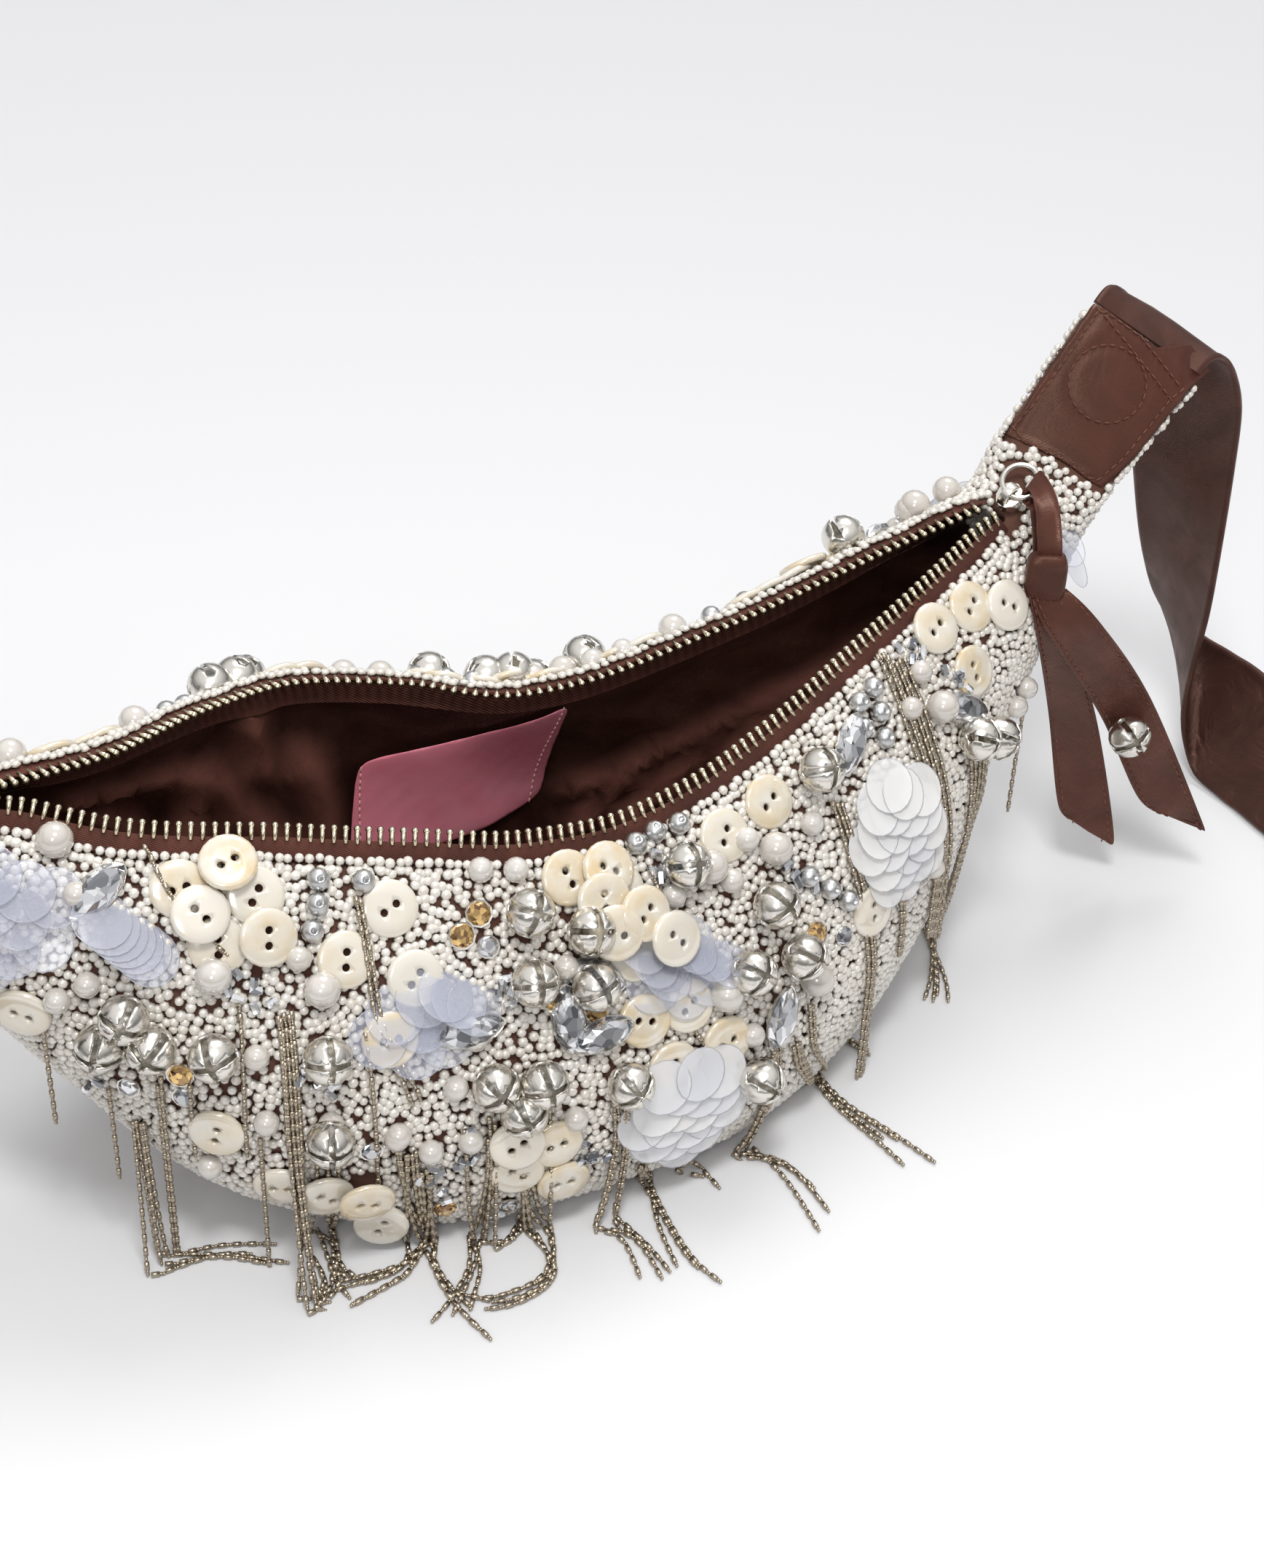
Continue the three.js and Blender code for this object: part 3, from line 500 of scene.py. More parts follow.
def foiled_stone(name, light, dark, scale):
    """Cut glass with a mirror foil behind it; its colour is painted in bright and dark flakes, painted glints
    and painted shade for the facets behind.
    """
    material, shader, tree = plain_shader(name, Roughness=0.06, Metallic=0.8, Coat_Weight=1.0,
                                          Coat_Roughness=0.02)
    glints = place_group(tree, PAINTED_FACET_GLINTS, Scale=scale, Light=light, Dark=dark)
    tree.links.new(glints.outputs["Color"], shader.inputs["Base Color"])
    return material


SEQUIN_EDGE = srgb(176, 178, 188)


def film(name, first, second, alpha, rim_alpha):
    """A clear disc that thickens at its rim, where the attribute rim is one."""
    material, shader, tree = plain_shader(name, Roughness=0.12, Specular_IOR_Level=0.8, Coat_Weight=0.5,
                                          Coat_Roughness=0.05)
    rim = stored(tree, "rim")
    middle = colour_mix(tree, stored(tree, "shade"), first, second)
    tree.links.new(colour_mix(tree, rim, middle, SEQUIN_EDGE), shader.inputs["Base Color"])
    spread = add_node(tree, "ShaderNodeMapRange", {"Value": rim, "To Min": alpha, "To Max": rim_alpha})
    tree.links.new(spread.outputs["Result"], shader.inputs["Alpha"])
    return material


SEED_PEARL = pearly("seed_pearl", srgb(212, 205, 194), srgb(232, 229, 223), 0.24, 900)
ROUND_PEARL = pearly("round_pearl", srgb(196, 189, 180), srgb(213, 209, 203), 0.18, 300)
SHELL_BUTTON = pearly("shell_button", srgb(220, 214, 201), srgb(210, 186, 140), 0.2, 190)
NICKEL = metal("nickel", srgb(226, 222, 214), 0.12, 0.32, 420, 0.35)
SILVER_BEAD = metal("silver_bead", srgb(206, 206, 206), 0.26, 0.4, 500, 0.1)
CHAMPAGNE_CHAIN = metal("champagne_chain", srgb(182, 170, 152), 0.2, 0.36, 900, 0.1)
TOOTH_METAL = metal("tooth_metal", srgb(226, 216, 190), 0.16, 0.32, 600, 0.1)
# Each stone's light colour is a painted glint and its dark colour painted shade; for amber both also carry
# its own gold and brown.
CRYSTAL = foiled_stone("crystal", srgb(252, 252, 254), srgb(96, 100, 108), 420)
AMBER = foiled_stone("amber_stone", srgb(246, 206, 132), srgb(92, 50, 16), 900)
SEQUIN_FILM = film("sequin_film", srgb(206, 211, 231), srgb(250, 250, 251), 0.19, 0.62)
SEQUIN_WHITE = film("sequin_white", srgb(226, 229, 242), srgb(255, 254, 252), 0.46, 0.7)
print("bead, metal and stone materials made")

# %% [markdown]
# ## Ground cloth
# The crescent's outer wall is dark cloth with the beads sewn on. Modelling it again would lose the fit,
# so the outer faces of the CAD shell are lifted off: a face belongs to the inside if the lining lies just
# beside or before it, or if it looks at the shell across the hollow. What is left is rounded by
# subdivision, and later carries the beads.

# %% Ground cloth
NEAR_LINING = 0.9 * MM
LINING_AHEAD = 14 * MM
LOOK_ACROSS = 130 * MM
MOUTH_HALF = 132 * MM

shell_mesh = merged_node("bag_shell")
shell_tree = BVHTree.FromBMesh(shell_mesh)
lining_mesh = merged_node("lining")
lining_tree = BVHTree.FromBMesh(lining_mesh)
lining_mesh.free()
inside = []
for face in shell_mesh.faces:
    centre = face.calc_center_median()
    beside_lining = lining_tree.find_nearest(centre, NEAR_LINING)[0] is not None
    looks_at_lining = lining_tree.ray_cast(centre, face.normal, LINING_AHEAD)[0] is not None
    faces_shell = shell_tree.ray_cast(centre + face.normal * MM, face.normal, LOOK_ACROSS)[0] is not None
    if beside_lining or looks_at_lining or (faces_shell and abs(centre.x) < MOUTH_HALF):
        inside.append(face)
bmesh.ops.delete(shell_mesh, geom=inside, context="FACES")
cloth = subdivide(from_bmesh("ground_cloth", shell_mesh), 2)
cloth_tree = tree_of(cloth)
print("ground cloth faces:", len(cloth.data.polygons), "left out:", len(inside))


def on_bag(px, py):
    """The place on the beaded wall that a pixel of the photograph shows, and its outward normal."""
    place, normal, _, _ = cloth_tree.ray_cast(EYE, pixel_ray(px, py))
    if place is None:
        return None
    return place, normal if normal.dot(pixel_ray(px, py)) < 0 else -normal


def on_back(x, z):
    """The place on the back wall at a given x and height."""
    place, normal, _, _ = cloth_tree.ray_cast(Vector((x, 0.3, z)), Vector((0, -1, 0)))
    if place is None:
        return None
    return place, normal if normal.y > 0 else -normal


# %% [markdown]
# ## Satin lining
# The lining is slack satin sewn in under the zip. A cloth simulation would move it off the measured wall,
# so the CAD wall is subdivided and its points are moved into the hollow instead: along the folds that
# the photograph shows, listed by their pixels, and in small slanting creases made from ridged noise,
# except behind the label. A stored number paints sheen on the backs of the folds and crease ridges: a
# lighter satin colour there, and a near-black painted shade between them.

# %% Lining
CREASE_DEPTH = 4.0 * MM
FOLD_DEPTH = 5.0 * MM
FOLD_WIDE = 8.0 * MM
RIM_COLUMN = 8 * MM
# How far below the rim the creases start, how far they take to reach their depth, and how far they stay
# from the label.
HEM = 0.004
HEM_FADE = 0.014
LABEL_FADE = 0.008
LABEL_ROOM = 0.01
# Pixels along the backs of the folds.
FOLD_PX = [[(87, 1092), (159, 1073), (222, 1058), (270, 1058)], [(262, 1058), (256, 1100), (251, 1145)],
           [(270, 1061), (319, 1092), (377, 1150)], [(405, 1025), (430, 1063), (446, 1112), (452, 1150)],
           [(232, 1025), (270, 990)], [(340, 990), (352, 1040)],
           [(777, 1073), (893, 1025), (1009, 967), (1154, 904)], [(850, 1058), (812, 1100), (790, 1125)],
           [(937, 1040), (893, 1080), (864, 1112)], [(1040, 985), (1000, 1040)],
           [(1190, 890), (1130, 950)], [(120, 1110), (170, 1130)]]
label_low, label_high = [Vector(corner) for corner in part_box("label")]
lining = subdivide(from_bmesh("satin_lining", merged_node("lining")), 2)
rim_heights = {}
for vert in lining.data.vertices:
    column = round(vert.co.x / RIM_COLUMN)
    rim_heights[column] = max(rim_heights.get(column, 0), vert.co.z)

bare_tree = tree_of(lining)
fold_lines = []
for pixels in FOLD_PX:
    line = [bare_tree.ray_cast(EYE, pixel_ray(*pixel))[0] for pixel in pixels]
    line = [point for point in line if point is not None]
    fold_lines.extend(zip(line, line[1:]))
print("fold lines:", len(fold_lines))


def clamped(value):
    return min(1, max(0, value))


def fold_back(point):
    """One on the back of the nearest fold, falling to nought at its foot."""
    best = FOLD_WIDE
    for start, end in fold_lines:
        way = end - start
        share = clamped((point - start).dot(way) / way.length_squared)
        best = min(best, (start + way * share - point).length)
    return (1 - best / FOLD_WIDE) ** 1.6


def crease(point):
    """How far the satin stands into the hollow at a place, in shares: sharp folds that run on the slant."""
    slant = Vector((point.x * 21 + point.z * 27, point.y * 8, point.z * 13 - point.x * 9))
    ridge = (1 - abs(noise.noise(slant))) ** 5
    small = (1 - abs(noise.noise(slant * 2.3 + Vector((7, 3, 1))))) ** 6
    below = rim_heights[round(point.x / RIM_COLUMN)] - point.z
    fade = clamped((below - HEM) / HEM_FADE)
    beside = max(label_low.x - point.x, point.x - label_high.x)
    clear = clamped(beside / LABEL_FADE) if point.y > label_low.y - LABEL_ROOM else 1
    return (0.75 * ridge + 0.35 * small) * fade * clear


# The middle of the hollow, towards which the creases stand, and how much its height counts.
mouth_axis = Vector((0, -0.014, 0.06))
AXIS_RISE = 0.35
lining_normals = [vert.normal.copy() for vert in lining.data.vertices]
painted_sheen = []
for vert, normal in zip(lining.data.vertices, lining_normals):
    inwards = Vector((0, mouth_axis.y - vert.co.y, AXIS_RISE * (mouth_axis.z - vert.co.z)))
    small, large = 0, 0
    if normal.dot(inwards) > 0:
        small, large = crease(vert.co), fold_back(vert.co)
    vert.co += normal * (small * CREASE_DEPTH * (1 - large) + large * FOLD_DEPTH)
    # The painted sheen: full on the backs of the large folds, partial on the crease ridges.
    painted_sheen.append(min(1, 0.45 * small + large))
mark(lining, "painted_fold_sheen", painted_sheen)
dress(lining, LINING_SATIN, "satin", "lining")
lining_tree = tree_of(lining)

# %% [markdown]
# ## Label
# A woven label is sewn to the back wall of the lining. It stays bare. Its two short ends get a row of small
# stitches later, with the other seams.

# %% Label
LABEL_WAVE = 0.5 * MM
label = subdivide(from_bmesh("woven_label", merged_node("label")), 2)
for vert in label.data.vertices:
    vert.co.y += LABEL_WAVE * math.sin(vert.co.x * 190 + vert.co.z * 120)
dress(label, LABEL_WEAVE, "label", "label")

# %% [markdown]
# ## Strips of cloth
# The strap and the ribbon's tails are strips between two edges. Their edge points repeat the CAD tables,
# in millimetres. A smooth curve runs through each edge, and a small closed section with piped rims is
# swept along, so the satin keeps a soft, stitched border.

# %% Strip builder


def smooth_curve(points, per_span):
    """Catmull-Rom points through the given ones."""
    vectors = [Vector(point) for point in points]
    path = []
    for i in range(len(vectors) - 1):
        before = vectors[max(i - 1, 0)]
        start, end = vectors[i], vectors[i + 1]
        after = vectors[min(i + 2, len(vectors) - 1)]
        for step in range(per_span):
            t = step / per_span
            path.append(0.5 * ((2 * start) + (end - before) * t
                               + (2 * before - 5 * start + 4 * end - after) * t * t
                               + (3 * start - before - 3 * end + after) * t ** 3))
    path.append(vectors[-1])
    return path


# Shares across the strip, and half thickness there as a share of the full one: flat with piped rims.
STRIP_SECTION = [(0.0, 0.55), (0.02, 1.0), (0.05, 0.95), (0.08, 0.6), (0.3, 0.62), (0.5, 0.66), (0.7, 0.62),
                 (0.92, 0.6), (0.95, 0.95), (0.98, 1.0), (1.0, 0.55)]


CLOTH_FLOOR = 0.2 * MM
RIPPLE_TURNS = 75


def ring_faces(rings, sides):
    """The faces between rings of points that follow one another."""
    faces = []
    for row in range(rings - 1):
        for i in range(sides):
            j = (i + 1) % sides
            faces.append((row * sides + i, row * sides + j, (row + 1) * sides + j, (row + 1) * sides + i))
    return faces


def strip(name, back, front, per_span, thickness, ripple=0.0):
    """A closed strip of cloth between two edges; ripple is the height of its crushed waves."""
    back_edge = smooth_curve(back, per_span)
    front_edge = smooth_curve(front, per_span)
    last = len(back_edge) - 1
    points = []
    for row, (a, b) in enumerate(zip(back_edge, front_edge)):
        along = back_edge[min(row + 1, last)] + front_edge[min(row + 1, last)]
        along -= back_edge[max(row - 1, 0)] + front_edge[max(row - 1, 0)]
        normal = along.cross(b - a).normalized()
        upper, lower = [], []
        for share, half in STRIP_SECTION:
            middle = a.lerp(b, share)
            wave = ripple * math.sin(math.pi * share) * noise.noise(middle * RIPPLE_TURNS)
            lift = normal * (half * thickness / 2)
            upper.append(middle + lift + normal * wave)
            lower.append(middle - lift + normal * wave)
        ring = upper + lower[::-1]
        points.extend(Vector((p.x, p.y, max(p.z, CLOTH_FLOOR))) for p in ring)
    count = 2 * len(STRIP_SECTION)
    faces = ring_faces(last + 1, count)
    faces.append(tuple(range(count))[::-1])
    faces.append(tuple(last * count + i for i in range(count)))
    return faces_out(new_object(name, points, faces)), back_edge, front_edge


def in_metres(rows):
    return [tuple(value * MM for value in row) for row in rows]


# %% Shoulder strap
# Edge points from the right tab over its fold, down to the floor and round the front.
FALL_BACK = [(164.6, 18.2, 146.6), (168.4, 19.5, 148.8), (172.4, 20.6, 147.6), (176.4, 21.8, 143),
             (182, 24, 127), (190, 26, 101), (200, 29, 71), (206, 30, 55), (212, 29, 41),
             (217.5, 25, 33.5), (221.5, 16, 31), (223.5, 6, 31), (226, -8, 30)]
FALL_FRONT = [(182.8, -3.6, 132.9), (187, -2.8, 135.4), (192, -2, 134), (196.4, -2, 128.8),
              (200.6, -2, 117.5), (204.6, 0.5, 97), (205.6, 0.6, 72), (205.8, 0.6, 52), (205.4, 1.6, 34),
              (205.4, 1.4, 16), (206.4, -4, 3.2), (207.8, -15, 0.8), (208.6, -27, 0.8)]
FLOOR_BACK = [(234, -48, 20), (231, -98, 6), (210, -148, 0.9), (160, -212, 0.8), (80, -262, 0.8),
              (-20, -256, 0.8), (-110, -212, 0.8), (-185, -162, 0.9), (-224, -104, 6), (-234, -52, 20)]
FLOOR_FRONT = [(208, -62, 0.8), (196, -106, 0.8), (180, -133, 0.8), (137, -185, 0.8), (70, -228, 0.8),
               (-10, -222, 0.8), (-92, -182, 0.8), (-160, -138, 0.8), (-190, -104, 0.8), (-206, -62, 0.8)]
STRAP_THICK = 1.6 * MM
CRUSH = 1.1 * MM
# The crushed creases are full on the floor and fade over this height, but never quite go.
CRUSH_TOP = 0.045
CRUSH_FADE = 0.025
CRUSH_LEAST = 0.12


def path_length(path):
    return sum((b - a).length for a, b in zip(path, path[1:]))


def mirrored(rows):
    return [(-x, y, z) for x, y, z in reversed(rows)]


strap, strap_back, strap_front = strip(
    "shoulder_strap", in_metres(FALL_BACK + FLOOR_BACK + mirrored(FALL_BACK)),
    in_metres(FALL_FRONT + FLOOR_FRONT + mirrored(FALL_FRONT)), 8, STRAP_THICK, CRUSH)
heights = [vert.co.z for vert in strap.data.vertices]
mark(strap, "crushed", [min(1, max(CRUSH_LEAST, (CRUSH_TOP - z) / CRUSH_FADE)) for z in heights])
dress(strap, STRAP_SATIN, "satin", "strap")

# %% [markdown]
# ## Repeats on a path and on points
# Beads, teeth, stitches and chain are single small shapes, used many times. Three Geometry Nodes trees
# place them: `sewn_on` puts a shape at each point with its own facing, turn, size and shade, `strung`
# threads a shape along curves at an even pitch, and `seed_pearls`, further down, scatters over a surface.

# %% Node tree helpers


def shape_tree(name, *more):
    """A tree that takes a mesh, the shape to repeat, its material and more inputs, and gives a mesh."""
    tree = bpy.data.node_groups.new(name, "GeometryNodeTree")
    tree.interface.new_socket("Geometry", in_out="INPUT", socket_type="NodeSocketGeometry")
    for label, kind in (("Shape", "Object"), ("Material", "Material"), *more):
        tree.interface.new_socket(label, in_out="INPUT", socket_type="NodeSocket" + kind)
    tree.interface.new_socket("Geometry", in_out="OUTPUT", socket_type="NodeSocketGeometry")
    return tree, tree.nodes.new("NodeGroupInput"), tree.nodes.new("NodeGroupOutput")


def run_tree(obj, tree, **values):
    modifier = obj.modifiers.new(tree.name, "NODES")
    modifier.node_group = tree
    for item in tree.interface.items_tree:
        if item.in_out == "INPUT" and item.name in values:
            modifier[item.identifier] = values[item.name]
    return bake(obj)


def named_field(tree, name, kind):
    field = add_node(tree, "GeometryNodeInputNamedAttribute", {"Name": name}, data_type=kind)
    return field.outputs["Attribute"]


def instance_and_end(tree, given, result, points, rotation, scale):
    """Instances of the Shape input on points, made real, with the Material input: the end of each tree."""
    shape = add_node(tree, "GeometryNodeObjectInfo", {"Object": given.outputs["Shape"]})
    inputs = {"Points": points, "Instance": shape.outputs["Geometry"], "Rotation": rotation}
    if scale is not None:
        inputs["Scale"] = scale
    place = add_node(tree, "GeometryNodeInstanceOnPoints", inputs)
    solid = add_node(tree, "GeometryNodeRealizeInstances", {"Geometry": place.outputs["Instances"]})
    paint = add_node(tree, "GeometryNodeSetMaterial",
                     {"Geometry": solid.outputs["Geometry"], "Material": given.outputs["Material"]})
    tree.links.new(paint.outputs["Geometry"], result.inputs["Geometry"])
    return place, solid


def make_sewn_on():
    tree, given, result = shape_tree("sewn_on")
    facing = named_field(tree, "facing", "FLOAT_VECTOR")
    along = named_field(tree, "along", "FLOAT_VECTOR")
    face_out = add_node(tree, "FunctionNodeAlignRotationToVector", {"Vector": facing}, axis="Z")
    turn = add_node(tree, "FunctionNodeAlignRotationToVector",
                    {"Rotation": face_out.outputs["Rotation"], "Vector": along}, axis="X", pivot_axis="Z")
    instance_and_end(tree, given, result, given.outputs["Geometry"], turn.outputs["Rotation"],
                     named_field(tree, "size", "FLOAT"))
    return tree


def make_strung():
    tree, given, result = shape_tree("strung", ("Pitch", "Float"))
    thread = add_node(tree, "GeometryNodeMeshToCurve", {"Mesh": given.outputs["Geometry"]})
    beads = add_node(tree, "GeometryNodeCurveToPoints",
                     {"Curve": thread.outputs["Curve"], "Length": given.outputs["Pitch"]}, mode="LENGTH")
    turn = add_node(tree, "FunctionNodeAlignRotationToVector", {"Vector": beads.outputs["Tangent"]}, axis="Z")
    instance_and_end(tree, given, result, beads.outputs["Points"], turn.outputs["Rotation"], None)
    return tree


SEWN_ON = make_sewn_on()
STRUNG = make_strung()


def sew(name, shape, material, places):
    """One mesh of a shape sewn on at places of (point, facing, along, size, shade)."""
    obj = new_object(name, [place[0] for place in places], [])
    for label, column in (("facing", 1), ("along", 2)):
        field = obj.data.attributes.new(label, "FLOAT_VECTOR", "POINT")
        field.data.foreach_set("vector", [value for place in places for value in place[column]])
    for label, column in (("size", 3), ("shade", 4)):
        mark(obj, label, [place[column] for place in places])
    return run_tree(obj, SEWN_ON, Shape=shape, Material=material)


def thread(name, shape, material, pitch, paths):
    """One mesh of a shape threaded along paths of points, with one shape per pitch."""
    points, edges = [], []
    for path in paths:
        start = len(points)
        points.extend(path)
        edges.extend((start + i, start + i + 1) for i in range(len(path) - 1))
    obj = new_object(name, points, [], edges=edges)
    return run_tree(obj, STRUNG, Shape=shape, Material=material, Pitch=pitch)


print("trees:", SEWN_ON.name, STRUNG.name)

# %% [markdown]
# ## Small shapes
# Each repeated shape is built once, lying at the origin with +Z as its outward side. A turned profile
# covers pearls, buttons and sequins; bells and buttons then get their slots and holes by a Boolean. They
# are drawn at a radius of one, so that a place's size is the real radius.

# %% Turned shapes


def turned(name, profile, sides, smooth=True):
    """A closed lathe shape: profile is (radius, height) from the bottom pole to the top pole."""
    points = []
    for radius, height in profile[1:-1]:
        for i in range(sides):
            angle = 2 * math.pi * i / sides
            points.append((radius * math.cos(angle), radius * math.sin(angle), height))
    rings = len(profile) - 2
    faces = ring_faces(rings, sides)
    bottom, top = len(points), len(points) + 1
    points.extend([(0, 0, profile[0][1]), (0, 0, profile[-1][1])])
    last = (rings - 1) * sides
    for i in range(sides):
        j = (i + 1) % sides
        faces.append((bottom, j, i))
        faces.append((top, last + i, last + j))
    return new_object(name, points, faces, smooth)


def ball_profile(rings, size=1.0, middle=0.0):
    heights = [math.sin(math.radians(-90 + 180 * i / rings)) for i in range(rings + 1)]
    return [(math.sqrt(max(0, 1 - h * h)) * size, h * size + middle) for h in heights]


def cut_away(obj, cutters):
    for cutter in cutters:
        modifier = obj.modifiers.new("cut", "BOOLEAN")
        modifier.object = cutter
        modifier.operation = "DIFFERENCE"
        modifier.solver = "EXACT"
    bake(obj)
    drop(*cutters)
    return obj


def block(name, half, centre):
    bm = bmesh.new()
    bmesh.ops.create_cube(bm, size=2)
    bmesh.ops.scale(bm, vec=half, verts=bm.verts)
    bmesh.ops.translate(bm, vec=centre, verts=bm.verts)
    return from_bmesh(name, bm)


def peg(name, radius, centre, axis="Z", half=1.2):
    bm = bmesh.new()
    bmesh.ops.create_cone(bm, cap_ends=True, segments=10, radius1=radius, radius2=radius, depth=2 * half)
    if axis != "Z":
        quarter = Matrix.Rotation(math.pi / 2, 3, "Y" if axis == "X" else "X")
        bmesh.ops.rotate(bm, matrix=quarter, verts=bm.verts)
    bmesh.ops.translate(bm, vec=centre, verts=bm.verts)
    return from_bmesh(name, bm)


# A jingle bell is a hollow ball of sheet metal, with crossed slots in its outer half that end in round holes.
BELL_WALL = 0.1
bell_outer = turned("bell_shape", ball_profile(10), 18)
bell_hollow = turned("bell_hollow", ball_profile(6, 1 - BELL_WALL), 10)
bell_shape = cut_away(bell_outer, [
    bell_hollow,
    block("slot_x", (1.2, 0.13, 0.6), (0, 0, 0.7)), block("slot_y", (0.13, 1.2, 0.6), (0, 0, 0.7)),
    peg("hole_x", 0.2, (0, 0, 0.12), "X"), peg("hole_y", 0.2, (0, 0, 0.12), "Y")])

# A mother-of-pearl button: a thick disc with a soft edge and two holes.
BUTTON_PROFILE = [(0, 0), (0.9, 0), (0.985, 0.06), (1.0, 0.14), (0.97, 0.22), (0.86, 0.27), (0.5, 0.285),
                  (0, 0.27)]
button_shape = cut_away(turned("button_shape", BUTTON_PROFILE, 22),
                        [peg("hole_left", 0.145, (-0.26, 0, 0.1)), peg("hole_right", 0.145, (0.26, 0, 0.1))])
pearl_shape = turned("pearl_shape", ball_profile(8), 14)
drilled_shape = cut_away(turned("drilled_shape", ball_profile(8), 12),
                         [peg("drill", 0.24, (0, 0, 0.8), "Z", 0.5)])
seed_shape = turned("seed_shape", [(0, -0.5), (1.0, 0.05), (0.74, 0.67), (0, 0.97)], 8)
SEQUIN_PROFILE = [(0, 0), (0.95, 0.0), (1.0, 0.008), (1.0, 0.02), (0.95, 0.014), (0, 0.012)]
sequin_shape = turned("sequin_shape", SEQUIN_PROFILE, 18)
SEQUIN_RIM = 0.97
rim_share = [math.hypot(vert.co.x, vert.co.y) > SEQUIN_RIM for vert in sequin_shape.data.vertices]
mark(sequin_shape, "rim", [float(on_rim) for on_rim in rim_share])
print("turned shapes made")

# %% [markdown]
# A marquise stone is a pointed oval cut in flat facets, set in a metal tray; a chaton is the round one.
# Both share a builder: rings of the outline at rising heights, flat shaded so that each facet catches
# its own light.

# %% Cut stones, zip tooth, stitch and chain link


def rings_solid(name, rings, smooth=False):
    """A closed solid through rings of equal length, with flat ends."""
    sides = len(rings[0])
    points = [point for ring in rings for point in ring]
    faces = [tuple(range(sides))[::-1]] + ring_faces(len(rings), sides)
    faces.append(tuple((len(rings) - 1) * sides + i for i in range(sides)))
    return new_object(name, points, faces, smooth)


def marquise_ring(scale, height, turn=0.0, sides=14):
    ring = []
    for i in range(sides):
        angle = 2 * math.pi * (i + turn) / sides
        wide = math.copysign(abs(math.sin(angle)) ** 1.35, math.sin(angle))
        ring.append((scale * math.cos(angle), 0.5 * scale * wide, height))
    return ring


def round_ring(scale, height, turn=0.0, sides=10):
    angles = [2 * math.pi * (i + turn) / sides for i in range(sides)]
    return [(scale * math.cos(angle), scale * math.sin(angle), height) for angle in angles]


marquise_shape = rings_solid("marquise_shape", [
    marquise_ring(0.62, 0.06), marquise_ring(0.97, 0.25), marquise_ring(0.97, 0.3),
    marquise_ring(0.8, 0.5, 0.5), marquise_ring(0.5, 0.62)])
tray_shape = rings_solid("tray_shape", [marquise_ring(0.75, 0.0), marquise_ring(1.03, 0.2),
                                        marquise_ring(1.03, 0.28), marquise_ring(0.95, 0.26)])
chaton_shape = rings_solid("chaton_shape", [
    round_ring(0.5, 0.1), round_ring(0.94, 0.5), round_ring(0.94, 0.6), round_ring(0.78, 0.85, 0.5),
    round_ring(0.52, 1.0)])
cup_shape = rings_solid("cup_shape", [round_ring(0.8, 0.0), round_ring(1.04, 0.5), round_ring(1.04, 0.66),
                                      round_ring(0.9, 0.64)])


def joined(name, parts):
    bm = bmesh.new()
    for part in parts:
        bm.from_mesh(part.data)
    drop(*parts)
    return from_bmesh(name, bm)


# A tooth is a bar clamped on the tape's edge with a round head. Its length lies along X, in metres.
TOOTH_SECTION = [(-0.0004, -0.0007), (0.0004, -0.0007), (0.0005, 0.0005), (0, 0.0009), (-0.0005, 0.0005)]
TOOTH_ENDS = (-2.2 * MM, 0.9 * MM)
tooth_bar = rings_solid("tooth_bar", [[(x, y, z) for y, z in TOOTH_SECTION] for x in TOOTH_ENDS])
tooth_head = turned("tooth_head", [(r * 0.78 * MM, h * 0.95 * MM) for r, h in ball_profile(5)], 8)
tooth_head.data.transform(Matrix.Translation((1.0 * MM, 0, 0)))
tooth_shape = joined("tooth_shape", [tooth_bar, tooth_head])

# A stitch and a chain link both lie along Z, in metres.
STITCH_PROFILE = [(0, -0.0009), (0.00019, -0.0007), (0.00025, 0), (0.00019, 0.0007), (0, 0.0009)]
stitch_shape = turned("stitch_shape", STITCH_PROFILE, 6)
link_bar = turned("link_bar", [(0, -0.001), (0.0006, -0.0009), (0.0006, 0.0009), (0, 0.001)], 6)
LINK_BALL_R = 0.47 * MM
LINK_BALLS = (0.00128, 0.00192)
link_balls = [turned("link_ball", ball_profile(3, LINK_BALL_R, middle), 5) for middle in LINK_BALLS]
link_shape = joined("link_shape", [link_bar] + link_balls)
# A bugle bead is a short cut tube that lies on its side.
bugle_shape = rings_solid("bugle_shape", [round_ring(1.0, -1.35, 0.0, 6), round_ring(1.0, 1.35, 0.0, 6)])
bugle_shape.data.transform(Matrix.Rotation(math.pi / 2, 4, "Y"))
print("stones, tooth, stitch, link and bugle made")

# %% [markdown]
# ## Zip
# The tapes are woven strips that lean into the mouth, with the teeth along their inner edges. The CAD
# strips give the path: their vertices are grouped into rings along the bag, smooth curves run through
# the ring corners, and a tooth is sewn on every two and a half millimetres. The half of each tape that
# hangs inside is a strip from the teeth down to the lining, so no gap shows between the two.

# %% Zip tapes and teeth
TOOTH_PITCH = 2.5 * MM
TAPE_EDGE = 0.15 * MM


def way_at(path, i):
    """The way that a path takes at one of its points, from the points beside it."""
    return path[min(i + 1, len(path) - 1)] - path[max(i - 1, 0)]


